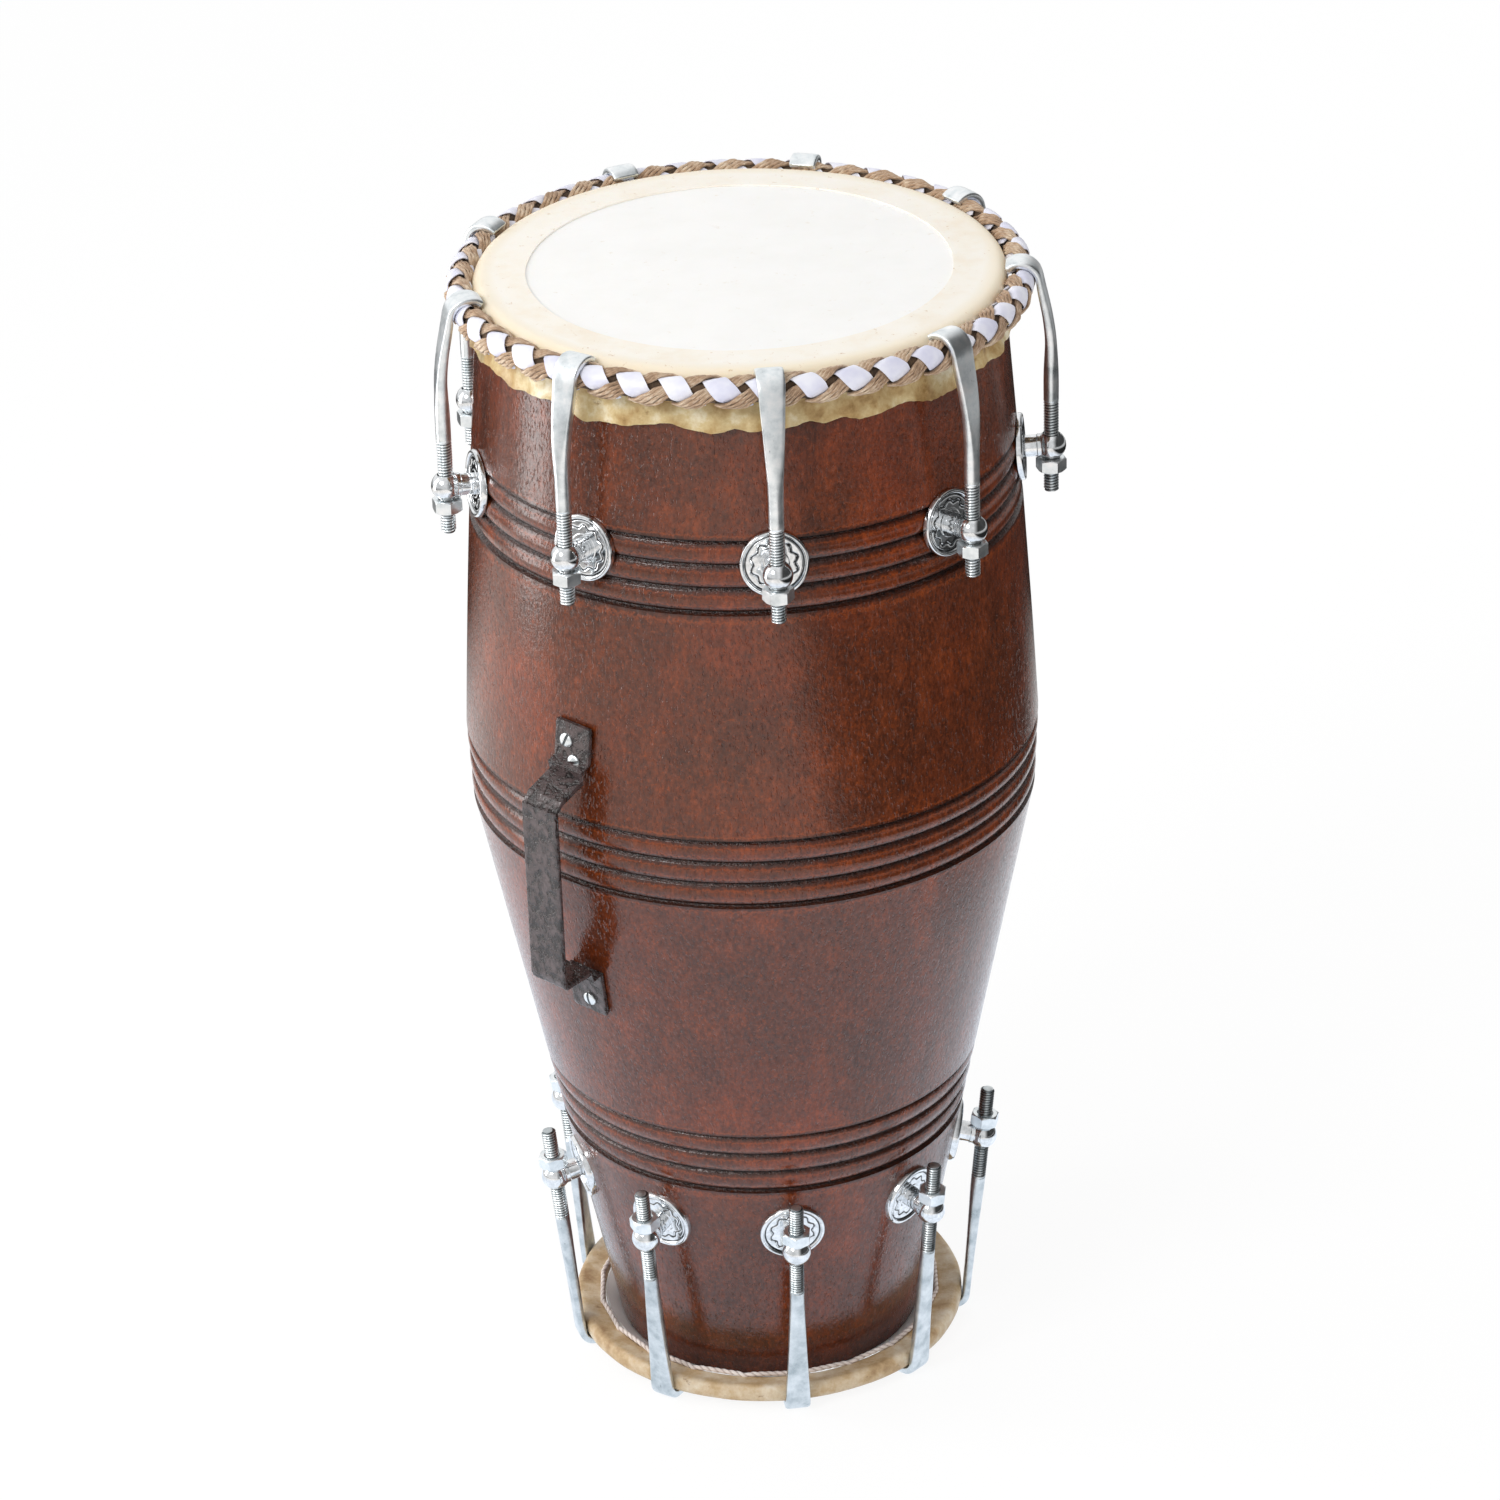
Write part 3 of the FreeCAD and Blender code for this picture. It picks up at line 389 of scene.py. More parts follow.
# turned hardwood under red-brown lacquer: grooves darkened partly by dirt and partly by painted shade, open
# pores, a thick gloss coat
def makeLacqueredWood():
    material, tree, shader, coords = newMaterial("lacqueredHardwood")
    figure = grainAt(tree, coords, 60, 3, 0.6, 1.5)
    streak = grainAt(tree, coords, 13, 5, 0.65, 2.0, 3.7)
    fine = grainAt(tree, coords, 1.5, 3, 0.7, 2.2, 1.3)
    colour = addNode(tree, "ShaderNodeValToRGB", (figure,),
                     stops=[(0.32, "#4c2614"), (0.5, "#5b2811"), (0.66, "#7e3210")])
    warm = addNode(tree, "ShaderNodeValToRGB", (streak,),
                   stops=[(0.34, "#472010"), (0.52, "#602a10"), (0.72, "#8e3e12")])
    specks = addNode(tree, "ShaderNodeValToRGB", (fine,), stops=[(0.32, 0.6), (0.5, 1.0), (0.68, 1.45)])
    # the colour is darker towards the drum's foot
    up = addNode(tree, "ShaderNodeSeparateXYZ", (coords,), "Z")
    thick = addNode(tree, "ShaderNodeMapRange", (up, 0.02, 0.15, 0.72, 1.0))
    # lacquer rubbed thin beside a groove shows orange; round the groove the colour darkens towards its ragged
    # bottom, partly dirt and partly painted shade
    dust = grainAt(tree, coords, 1.8, 3, 0.7, 1.0, 8.0)
    ragged = addNode(tree, "ShaderNodeMapRange", (dust, 0.0, 1.0, -0.55, 0.45))
    groove = addNode(tree, "ShaderNodeAttribute", result="Fac", attribute_name="groove")
    near = addNode(tree, "ShaderNodeMath", (groove, ragged), operation="ADD")
    rubbed = addNode(tree, "ShaderNodeValToRGB", (near,), stops=[(0.02, 0.0), (0.16, 0.5), (0.28, 0.0)])
    stainAndShade = addNode(tree, "ShaderNodeValToRGB", (near,), stops=[(0.2, 0.0), (0.62, 0.75)])
    dirtAndShade = addNode(tree, "ShaderNodeValToRGB", (near,), stops=[(0.66, 0.0), (0.95, 1.0)])
    layers = ((0.5, warm, "MIX"), (1.0, specks, "MULTIPLY"), (1.0, thick, "MULTIPLY"),
              (rubbed, "#9a4512", "MIX"), (stainAndShade, "#2e150c", "MIX"), (dirtAndShade, "#1a0c08", "MIX"))
    for share, over, blend in layers:
        colour = addNode(tree, "ShaderNodeMix", {0: share, 6: colour, 7: over}, 2,
                         data_type="RGBA", blend_type=blend)
    # the gloss is a little thinner on the orange peel, and worn off in the grooves
    orange = grainAt(tree, coords, 1.6, 3, 0.65, 1.3, 9.0)
    peel = addNode(tree, "ShaderNodeMapRange", (orange, 0.36, 0.64, 0.7, 1.0))
    worn = addNode(tree, "ShaderNodeMath", (dirtAndShade, -0.5, 1.0), operation="MULTIPLY_ADD")
    gloss = addNode(tree, "ShaderNodeMath", (peel, worn), operation="MULTIPLY")
    pores = addNode(tree, "ShaderNodeValToRGB", (grainAt(tree, coords, 1.0, 2, 0.5, 3.0, 5.5),),
                    stops=[(0.3, 0.0), (0.4, 1.0)])
    height = addNode(tree, "ShaderNodeMath", (orange, pores), operation="ADD")
    chips = addNode(tree, "ShaderNodeMath", (fine, dirtAndShade), operation="MULTIPLY")
    height = addNode(tree, "ShaderNodeMath", (chips, 2.5, height), operation="MULTIPLY_ADD")
    bump, coatBump = [
        addNode(tree, "ShaderNodeBump", {"Height": height, "Strength": 0.8, "Distance": depth * mm})
        for depth in (0.28, 0.2)]
    setInputs(tree, shader, {"Base Color": colour, "Roughness": 0.4, "Specular IOR Level": 0.1, "Normal": bump,
                             "Coat Weight": gloss, "Coat IOR": 1.56, "Coat Roughness": 0.06,
                             "Coat Normal": coatBump})
    return material


# animal skin: clouded, flecked, finely grained, and a little light goes through it
def makeSkin(name, stops, fleck, roughness=0.62, depth=0.1, cloudSize=28, edge=None, spotSize=5):
    # edge is (radius where the tone starts to change, radius where it has changed, colour)
    material, tree, shader, coords = newMaterial(name)
    cloud = grainAt(tree, coords, cloudSize, 5, 0.65)
    colour = addNode(tree, "ShaderNodeValToRGB", (cloud,), stops=stops)
    if edge:
        wander = 12 * mm
        flat = addNode(tree, "ShaderNodeVectorMath", (coords, (1, 1, 0)), operation="MULTIPLY")
        out = addNode(tree, "ShaderNodeVectorMath", (flat,), "Value", operation="LENGTH")
        out = addNode(tree, "ShaderNodeMath", (cloud, wander, out), operation="MULTIPLY_ADD")
        start, end = [radius * mm + wander / 2 for radius in edge[:2]]
        share = addNode(tree, "ShaderNodeMapRange", (out, start, end))
        colour = addNode(tree, "ShaderNodeMix", {0: share, 6: colour, 7: edge[2]}, 2, data_type="RGBA")
    spots = addNode(tree, "ShaderNodeValToRGB", (grainAt(tree, coords, spotSize, 4, 0.7, 1.0, 4.0),),
                    stops=[(0.64, 0.0), (0.76, 1.0)])
    colour = addNode(tree, "ShaderNodeMix", {0: spots, 6: colour, 7: fleck}, 2, data_type="RGBA")
    bump = addNode(tree, "ShaderNodeBump", {
        "Height": grainAt(tree, coords, 0.9, 3, 0.6, 1.0, 2.0), "Strength": 0.35, "Distance": depth * mm})
    setInputs(tree, shader, {"Base Color": colour, "Roughness": roughness, "Normal": bump,
                             "Subsurface Weight": 0.08, "Subsurface Radius": (0.003, 0.0022, 0.0015)})
    return material


# zinc-plated mild steel, forged and wire-brushed: grey-blue, soft gloss, scuffs along the rod
def makeZinc(name, stops):
    material, tree, shader, coords = newMaterial(name)
    cloud = grainAt(tree, coords, 6, 4, 0.6)
    plain = addNode(tree, "ShaderNodeValToRGB", (cloud,), stops=stops)
    scuff = addNode(tree, "ShaderNodeValToRGB", (grainAt(tree, coords, 1.3, 4, 0.65, 4, 6.0),),
                    stops=[(0.25, 0.35), (0.33, 1.0)])
    # painted shade: the roots of the threads and the floor of a screw's slot are painted dark
    root = addNode(tree, "ShaderNodeAttribute", result="Fac", attribute_name="root")
    rootShade = addNode(tree, "ShaderNodeValToRGB", (root,), stops=[(0.35, 0.0), (0.9, 0.85)])
    colour = addNode(tree, "ShaderNodeMix", {0: 1.0, 6: plain, 7: scuff}, 2,
                     data_type="RGBA", blend_type="MULTIPLY")
    colour = addNode(tree, "ShaderNodeMix", {0: rootShade, 6: colour, 7: "#3d4446"}, 2, data_type="RGBA")
    rough = addNode(tree, "ShaderNodeMapRange", (cloud, 0.0, 1.0, 0.22, 0.4))
    bump = addNode(tree, "ShaderNodeBump", {"Height": cloud, "Strength": 0.25, "Distance": 0.12 * mm})
    setInputs(tree, shader, {"Base Color": colour, "Metallic": 0.95, "Roughness": rough, "Normal": bump})
    return material


# chrome on steel: mirror bright with a faint haze, and painted shade, near black, in the pressed lines
def makeChrome():
    material, tree, shader, coords = newMaterial("chromePlatedSteel")
    haze = grainAt(tree, coords, 2.5, 3, 0.6)
    plain = addNode(tree, "ShaderNodeValToRGB", (haze,),
                    stops=[(0.3, "#cfd2d4"), (0.6, "#eceef0"), (0.8, "#fafafa")])
    root = addNode(tree, "ShaderNodeAttribute", result="Fac", attribute_name="root")
    # painted shade in the pressed lines
    rootShade = addNode(tree, "ShaderNodeValToRGB", (root,), stops=[(0.3, 0.0), (0.85, 0.95)])
    colour = addNode(tree, "ShaderNodeMix", {0: rootShade, 6: plain, 7: "#1d1e1f"}, 2, data_type="RGBA")
    rough = addNode(tree, "ShaderNodeMapRange", (haze, 0.0, 1.0, 0.07, 0.16))
    setInputs(tree, shader, {"Base Color": colour, "Metallic": 1.0, "Roughness": rough})
    return material


# brown brushing paint over hammered strap iron: soft dents, glints on the ridges
def makePaintedIron():
    material, tree, shader, coords = newMaterial("paintedStrapIron")
    dents = grainAt(tree, coords, 3.0, 3, 0.6, 1.5, 2.5)
    # painted shade and painted highlight: the paint is coloured darker in the dents and lighter on the ridges,
    # by the same noise as the bump
    colour = addNode(tree, "ShaderNodeValToRGB", (dents,),
                     stops=[(0.36, "#1e1615"), (0.5, "#3a2d2c"), (0.66, "#564848")])
    rough = addNode(tree, "ShaderNodeMapRange", (dents, 0.35, 0.65, 0.42, 0.18))
    pits = addNode(tree, "ShaderNodeValToRGB", (dents,), stops=[(0.36, 0.0), (0.5, 1.0)])
    brushed = grainAt(tree, coords, 1.2, 2, 0.5)
    height = addNode(tree, "ShaderNodeMath", (brushed, 0.3, pits), operation="MULTIPLY_ADD")
    bump = addNode(tree, "ShaderNodeBump", {"Height": height, "Strength": 1.0, "Distance": 0.5 * mm})
    setInputs(tree, shader, {
        "Base Color": colour, "Roughness": rough, "Specular IOR Level": 0.9, "Normal": bump})
    return material


# spun fibre: colour and ridges run along the strand, read from its own map
def makeFibre(name, stops, gap, ridge, depth):
    material, tree, shader, coords = newMaterial(name)
    along = addNode(tree, "ShaderNodeUVMap", uv_map="strand")
    place = addNode(tree, "ShaderNodeMapping", {"Vector": along, "Scale": (ridge, 0.35, 1)})
    fibre = addNode(tree, "ShaderNodeTexNoise", {"Vector": place, "Scale": 1.0, "Detail": 3.0}, "Fac")
    mixed = addNode(tree, "ShaderNodeMix", {0: 0.5, 2: fibre, 3: grainAt(tree, coords, 9, 3, 0.6)})
    plain = addNode(tree, "ShaderNodeValToRGB", (mixed,), stops=stops)
    # painted shade: dark between the plies and on a strand's side towards the hoop, where a mesh marks them
    furrow = addNode(tree, "ShaderNodeAttribute", result="Fac", attribute_name="furrow")
    dark = addNode(tree, "ShaderNodeValToRGB", (furrow,), stops=[(0.3, 0.0), (0.95, 0.75)])
    bump = addNode(tree, "ShaderNodeBump", {"Height": fibre, "Strength": 0.8, "Distance": depth * mm})
    colour = addNode(tree, "ShaderNodeMix", {0: dark, 6: plain, 7: gap}, 2, data_type="RGBA")
    setInputs(tree, shader, {"Base Color": colour, "Roughness": 0.85, "Sheen Weight": 0.15, "Normal": bump})
    return material


# a plain clouded finish with lumps of (cell size, detail, roughness)
def makePlain(name, cloud, stops, roughness, lumps, strength, depth):
    material, tree, shader, coords = newMaterial(name)
    colour = addNode(tree, "ShaderNodeValToRGB", (grainAt(tree, coords, *cloud, 0.6),), stops=stops)
    bump = addNode(tree, "ShaderNodeBump", {
        "Height": grainAt(tree, coords, *lumps), "Strength": strength, "Distance": depth * mm})
    setInputs(tree, shader, {"Base Color": colour, "Roughness": roughness, "Normal": bump})
    return material


wood = makeLacqueredWood()
# scraped goat skin: chalk white where it is tight, matt, faint flecks
whiteSkin = makeSkin("scrapedGoatSkin", [(0.3, "#fbfaf7"), (0.6, "#fffefc")], "#efe9df")
# thicker goat skin: cream, specked tan, and yellower where it goes down to the plait
ringSkin = makeSkin("creamGoatSkin", [(0.3, "#f9eedd"), (0.5, "#fdf7ec"), (0.72, "#fffbf4")], "#cba577",
                    edge=(100, 113, "#f3dfb8"), spotSize=3.2)
# dried raw skin: horny and half glossy, tan and straw in blotches
parchment = makeSkin("drySkinMargin", [(0.33, "#8f6a36"), (0.44, "#bd9c66"), (0.56, "#d9c391"),
                                       (0.68, "#f4ead0")], "#98743f", 0.36, 0.2, 16, spotSize=7)
# tanned hide: fawn and uneven, with a dull shine and an open grain
hide = makeSkin("tannedHide", [(0.3, "#a17d54"), (0.46, "#c8ac84"), (0.6, "#dccaae"), (0.75, "#eee4d4")],
                "#8a5f3a", 0.5, 0.35, 13)
zinc = makeZinc("zincPlatedSteel", [(0.3, "#d0d7da"), (0.5, "#ebf0f2"), (0.72, "#ffffff")])
# the same plating, greyer at the small head
greyerZinc = makeZinc("greyerZincSteel", [(0.3, "#adb6b9"), (0.5, "#cdd3d5"), (0.72, "#e6eaeb")])
chrome = makeChrome()
strapPaint = makePaintedIron()
# jute twine: dull, straw to brown, coarse
jute = makeFibre("juteTwine", [(0.3, "#6f553e"), (0.48, "#b5967a"), (0.68, "#ead9c0")], "#2c1e15", 7.0, 0.35)
# the same twine painted darker for the plait's core, as painted shade in the gaps between the strands
shadedJute = makeFibre("shadedCoreTwine", [(0.3, "#2c1f16"), (0.7, "#6d543c")], "#2c1e15", 7.0, 0.3)
# two-ply cotton cord: off-white, soft, with painted shade between the plies
cotton = makeFibre("twistedCotton", [(0.3, "#cfbfb5"), (0.5, "#efe3dc"), (0.7, "#fbf5f0")],
                   "#8c6f62", 5.0, 0.15)
# flat polypropylene strip: cool white, soft sheen, shallow creases
strip = makePlain("whitePlaitStrip", (12, 3), [(0.3, "#d9d9ee"), (0.6, "#f1f1fb"), (0.8, "#fbfbff")], 0.42,
                  (3, 2, 0.5), 0.25, 0.15)
# matt black tuning paste, hand-laid and slightly lumpy
paste = makePlain("tuningPaste", (4, 4), [(0.3, "#15110f"), (0.7, "#2c2622")], 0.8, (4, 4, 0.6), 0.5, 0.3)
print("finishes ready")


# shell

shell = dict(topRim=107.2, belly=121.3, bellyTopZ=300.7, bellyBottomZ=270.7, bellyDrop=1.3, foot=66.2,
             bulge=0.9, wall=12.0, topZ=502.0, footZ=4.65, edge=3.0,
             grooveWidth=2.2, grooveDepth=0.6, grooveStain=3.4, bead=1.45,
             bands=(416.7, 285.7, 129.0), pitch=10.0, segments=240, waver=0.12, step=4.0,
             insideZ=(450, 400, 350))


def shellRadius(z):
    s = shell
    if z >= s["bellyTopZ"]:
        rise, run = s["topZ"] - s["bellyTopZ"], s["belly"] - s["topRim"]
        chord = math.hypot(rise, run)
        radius = (chord ** 2 / 4 + s["bulge"] ** 2) / (2 * s["bulge"])
        back = radius - s["bulge"]
        cr = (s["topRim"] + s["belly"]) / 2 - back * rise / chord
        cz = (s["topZ"] + s["bellyTopZ"]) / 2 - back * run / chord
        return cr + math.sqrt(radius ** 2 - (z - cz) ** 2)
    if z >= s["bellyBottomZ"]:
        return s["belly"] - (s["bellyTopZ"] - z) / (s["bellyTopZ"] - s["bellyBottomZ"]) * s["bellyDrop"]
    low = s["belly"] - s["bellyDrop"]
    return s["foot"] + (z - s["footZ"]) / (s["bellyBottomZ"] - s["footZ"]) * (low - s["foot"])


def shellRelief(z):
    # height of the turned surface over the plain outline: three beads between four grooves
    half = shell["grooveWidth"] / 2
    for band in shell["bands"]:
        past = abs(z - band) - 1.5 * shell["pitch"]
        if 0 < past < half:
            return -(shell["grooveDepth"] + shell["bead"]) * (1 - (past / half) ** 2)
        if past <= 0:
            phase = ((z - band) / shell["pitch"] + 0.5) % 1.0
            away = min(phase, 1 - phase) * shell["pitch"] / half
            bead = shell["bead"] * (1 - math.sin(math.pi * phase))
            return -bead - shell["grooveDepth"] * max(0.0, 1 - away ** 2)
    return 0.0


def edgeCentre(z, way):
    # centre of the rounded edge of the shell's end at z, where way is 1 for the top and -1 for the foot
    middle = z - way * shell["edge"]
    return shellRadius(middle) - shell["edge"], middle


def makeShell():
    s = shell
    grooves = [band + (1.5 - k) * s["pitch"] for band in s["bands"] for k in range(4)]
    start, end = s["footZ"] + s["edge"], s["topZ"] - s["edge"]
    levels = {round(start + s["step"] * k, 3) for k in range(math.ceil((end - start) / s["step"]))}
    for groove in grooves:
        levels.update(round(groove + k * s["grooveWidth"] / 10, 3) for k in range(-6, 7))
        levels.update(round(groove + k, 3) for k in range(2, 9))
    outer = [(shellRadius(z) + shellRelief(z), z) for z in sorted(levels)]
    foot = arc(*edgeCentre(s["footZ"], -1), s["edge"], [a - math.pi / 2 for a in (0, 0.4, 0.8, 1.2)])
    top = arc(*edgeCentre(s["topZ"], 1), s["edge"], (0.4, 0.8, 1.2, math.pi / 2))
    inner = [(shellRadius(z) - s["wall"], z)
             for z in (s["topZ"], *s["insideZ"], s["bellyTopZ"], s["bellyBottomZ"], s["footZ"])]

    def waver(r, z, a):
        # hand-turned: the surface wanders a little
        return r + s["waver"] * noiseRound(a, 2.2, z * 0.02) * (1 if 10 < z < 480 else 0), z

    mesh = latheMesh("shell", foot + outer + top + inner, s["segments"], 50, waver)
    nearness = []
    for v in mesh.vertices:
        z, r = v.co.z / mm, math.hypot(v.co.x, v.co.y) / mm
        away = min(abs(z - groove) for groove in grooves)
        nearness.append(max(0.0, 1 - away / s["grooveStain"]) if r > shellRadius(z) - 4 else 0.0)
    markPoints(mesh, "groove", nearness)
    addPiece("turnedShell", mesh, wood, "shell")


makeShell()
print("shell ready")


# skins

skins = dict(ringInner=87.3, ringThick=0.7, skinThick=0.9, edgeZ=491.7, gap=0.05, ripple=0.35,
             gathered=(96, 106), low=480.0, flare=3.2, marginThick=0.75, marginRows=9,
             bottomLean=35, bottomReach=73.35)


def overEdge(near, far, inner):
    # closed profile of a skin lying over the big head's rounded edge
    s, edgeZ = shell, skins["edgeZ"]
    cr, cz = edgeCentre(s["topZ"], 1)
    ends = shellRadius(edgeZ)
    bend = [math.pi / 2 * k / 7 for k in range(8)]
    spans = [cr - (cr - inner) * k / 12 for k in range(1, 13)]
    return ([(ends + far, edgeZ)] + arc(cr, cz, s["edge"] + far, bend) + [(r, s["topZ"] + far) for r in spans]
            + [(r, s["topZ"] + near) for r in reversed(spans)] + arc(cr, cz, s["edge"] + near, reversed(bend))
            + [(ends + near, edgeZ)])


def makeHeadSkins():
    k = skins
    far = k["gap"] + k["skinThick"]
    mesh = latheMesh("topSkin", overEdge(k["gap"], far, 0.0), 180, 50)
    addPiece("playingSkin", mesh, whiteSkin, "top_skin")
    near = far + k["gap"]
    first, last = k["gathered"]

    def ripple(r, z, a):
        # the ring lies flat inside and is gathered a little towards the braid
        share = max(0.0, min(1.0, (r - first) / (last - first)))
        edge = 0.5 * noiseRound(a, 3, 7) if r < k["ringInner"] + 1.5 else 0.0
        lift = k["ripple"] * share * max(0.0, noiseRound(a, 9, r * 0.05)) if z > 495 else 0.0
        return r + edge, z + lift

    mesh = latheMesh("ringSkin", overEdge(near, near + k["ringThick"], k["ringInner"]), 360, 50, ripple)
    addPiece("ringSkin", mesh, ringSkin, "top_ring_skin")


def makeMargin():
    # the skins' dry margin: ragged, creased, lifting off the wood towards its edge
    k = skins
    rings = []
    for a in circle(540):
        low = k["low"] + noiseRound(a, 5, 1) * 3.4 + noiseRound(a, 13, 9) * 1.8 + noiseRound(a, 45, 2) * 0.5
        lift = (0.55 + 0.9 * noiseRound(a, 9, 3)) * k["flare"]
        crease = 3.6 * noiseRound(a, 15, 4) + 0.3 * noiseRound(a, 50, 6)
        high = k["edgeZ"] - 0.2
        outer, inner = [], []
        for i in range(k["marginRows"] + 1):
            t = i / k["marginRows"]
            z = high + (low - high) * t
            r = shellRadius(z) + max(0.15, 0.25 + lift * t ** 1.6 + 0.5 * crease * math.sin(math.pi * t))
            outer.append(polar(r + k["marginThick"], a, z))
            inner.append(polar(r, a, z))
        rings.append(outer + inner[::-1])
    addPiece("skinMargin", sweepMesh("margin", rings, 60, True), parchment, "top_skirt")


def makeBottomSkin():
    cr, cz = edgeCentre(shell["footZ"], -1)
    near = shell["edge"] + skins["gap"]
    far = near + skins["skinThick"]
    lean = math.radians(skins["bottomLean"])
    bend = [math.radians(-90 + 11 * i) for i in range(6)]
    middle = (0, cr * 0.35, cr * 0.7)
    low, high = arc(cr, cz, far, bend), arc(cr, cz, near, reversed(bend))
    out = skins["bottomReach"] - low[-1][0]
    up = out * math.tan(lean)
    tip = [(r + out, z + up) for r, z in (low[-1], high[0])]
    profile = [(r, cz - far) for r in middle] + low + tip + high + [(r, cz - near) for r in reversed(middle)]
    mesh = latheMesh("bottomSkin", profile, 144, 50, closed=False)
    addPiece("smallHeadSkin", mesh, whiteSkin, "bottom_skin")


makeHeadSkins()
makeBottomSkin()
makeMargin()
print("skins ready")


# plaited rim of the big head

# whiteTurns and juteTurns are pitches gone round the rim for one way over the section
plait = dict(radius=114.5, z=497.7, halfWidth=5.1, halfHeight=6.0, count=42, whiteTurns=1.04, juteTurns=1.99,
             middle=0.53, stripSide=3.8, stripSlant=0.0965, stripThick=0.35, lanes=(-1.5, -0.5, 0.5, 1.5),
             strandRadius=1.0, strandSide=1.04, strandSlant=0.0545, core=0.70, seed=4)


def plaitPoint(u, s, height):
    # u is the distance round the rim, s runs from the inner edge over the top to the lower outer edge
    p = plait
    v = math.radians(165 - 235 * s)
    r = p["radius"] + (p["halfWidth"] * p["core"] + height) * math.cos(v)
    z = p["z"] + (p["halfHeight"] * p["core"] + height) * math.sin(v)
    return polar(r, u / p["radius"], z)


def plaitWave(s):
    # 1 where white lies over jute, -1 where it lies under
    wave = math.cos(math.pi * (s - plait["middle"]) * (plait["whiteTurns"] + plait["juteTurns"]))
    return max(-1.0, min(1.0, 1.7 * wave + 0.35))


def whiteStrip(run, chance):
    p, steps = plait, 40
    bow, slip, pinch = chance.uniform(-0.5, 0.5), chance.uniform(-0.5, 0.5), chance.uniform(0.92, 1.08)
    across = [(-1, 0), (-0.6, 0.2), (0, 0.32), (0.6, 0.2), (1, 0)]
    section = across + [(w, crown + p["stripThick"]) for w, crown in across[::-1]]
    rings = []
    for s in [i / steps for i in range(steps + 1)]:
        lift = 1.05 + 0.75 * plaitWave(s)
        u = run * (s - p["middle"]) + slip + bow * math.sin(math.pi * s * 3)
        wide = pinch * (0.94 + 0.06 * plaitWave(s))
        rings.append([plaitPoint(u + w * wide * p["stripSide"], s - w * wide * p["stripSlant"], lift + high)
                      for w, high in section])
    return sweepMesh("plaitStrip", rings, 40)


def juteBundle(run, chance):
    p, steps = plait, 52
    strands = []
    for lane in p["lanes"]:
        swing, start, size = chance.uniform(-0.35, 0.35), chance.uniform(0, 6), chance.uniform(0.92, 1.08)

        def onStrand(s, lift, stray=1.0):
            u = -run * (s - p["middle"]) + lane * p["strandSide"] + stray * swing * math.sin(7 * s + start)
            return plaitPoint(u, s + lane * p["strandSlant"], lift)

        def liftAt(s):
            return 1.0 - 0.85 * plaitWave(s) + 0.12 * lane * math.sin(9 * s + start)

        rings = []
        for i in range(steps + 1):
            s = -0.04 + 1.08 * i / steps
            here, inside = onStrand(s, liftAt(s)), onStrand(s, -2.0, 0.0)
            ahead = (onStrand(s + 0.01, liftAt(s + 0.01)) - here).normalized()
            out = (here - inside).normalized()
            out = (out - ahead * out.dot(ahead)).normalized()
            side = ahead.cross(out)
            ring = []
            for a in circle(8):
                r = p["strandRadius"] * size * (0.86 + 0.17 * math.cos(2 * a - i * 0.95 + start)) * mm
                ring.append(here + (out * math.cos(a) + side * math.sin(a)) * r)
            rings.append(ring)
        strands.append(strandMesh("juteStrand", rings))
    return joinMeshes("juteBundle", strands)


def strandMesh(name, rings):
    # a capped tube with a map that runs along it, in millimetres
    mesh = sweepMesh(name, rings, 60)
    count = len(rings[0])
    layer = mesh.uv_layers.new(name="strand")
    reach = [0.0]
    for a, b in zip(rings, rings[1:]):
        reach.append(reach[-1] + (b[0] - a[0]).length / mm)
    for polygon in mesh.polygons:
        wraps = {v % count for v in polygon.vertices} == {0, count - 1}
        for loop in polygon.loop_indices:
            v = mesh.loops[loop].vertex_index
            around = count if wraps and v % count == 0 else v % count
            layer.data[loop].uv = (around / count, reach[v // count])
    # painted shade: the side towards the hoop is marked to be painted darker
    markPoints(mesh, "furrow", [0.55 - 0.55 * math.cos(a) for ring in rings for a in circle(count)])
    return mesh


def sway(mesh):
    # the plait rolls a little about its hoop from place to place, as it was pulled down by hand
    for v in mesh.vertices:
        a = math.atan2(v.co.y, v.co.x)
        r = math.hypot(v.co.x, v.co.y) / mm - plait["radius"]
        h = v.co.z / mm - plait["z"]
        roll = 0.14 * noiseRound(a, 2.5, 5) + 0.16 * math.exp(-((math.degrees(a) + 115) / 22) ** 2)
        r, h = r * math.cos(roll) - h * math.sin(roll), r * math.sin(roll) + h * math.cos(roll)
        v.co = polar(r + plait["radius"], a, h + plait["z"])


def makePlait():
    # three kinds of strip and of bundle take turns round the rim
    p, kinds = plait, 3
    chance = random.Random(p["seed"])
    pitch = 2 * math.pi * p["radius"] / p["count"]
    whites, twists = [], []
    for kind in range(kinds):
        marks = [((0, 0, 0), (0, 0, a)) for a in circle(p["count"])[kind::kinds]]
        whites.append(copiesOf("whiteStrips", whiteStrip(p["whiteTurns"] * pitch, chance), marks, strip, 40))
        twists.append(copiesOf("juteStrands", juteBundle(p["juteTurns"] * pitch, chance), marks, jute, 60))
    for name, meshes, material in (("plaitWhiteStrips", whites, strip), ("plaitJute", twists, jute)):
        mesh = joinMeshes(name, meshes)
        sway(mesh)
        addPiece(name, smoothed(mesh, 50), material, "top_braid")

    wide, high = p["halfWidth"] * p["core"], p["halfHeight"] * p["core"]
    core = [(p["radius"] + wide * math.cos(a), p["z"] + high * math.sin(a)) for a in circle(24)]
    coreMesh = latheMesh("plaitCore", core, 180, 60)
    coreMesh.uv_layers.new(name="strand")
    addPiece("plaitCore", coreMesh, shadedJute, "top_braid")


makePlait()
print("plait ready")


# rim of the small head

rim = dict(inner=73.5, outer=86.3, low=3.7, high=12.7, rounding=3.3, slope=2.4, ringInset=1.6,
           laceRadius=75.5, laceZ=11.7, runs=20, steps=24, cord=1.0)


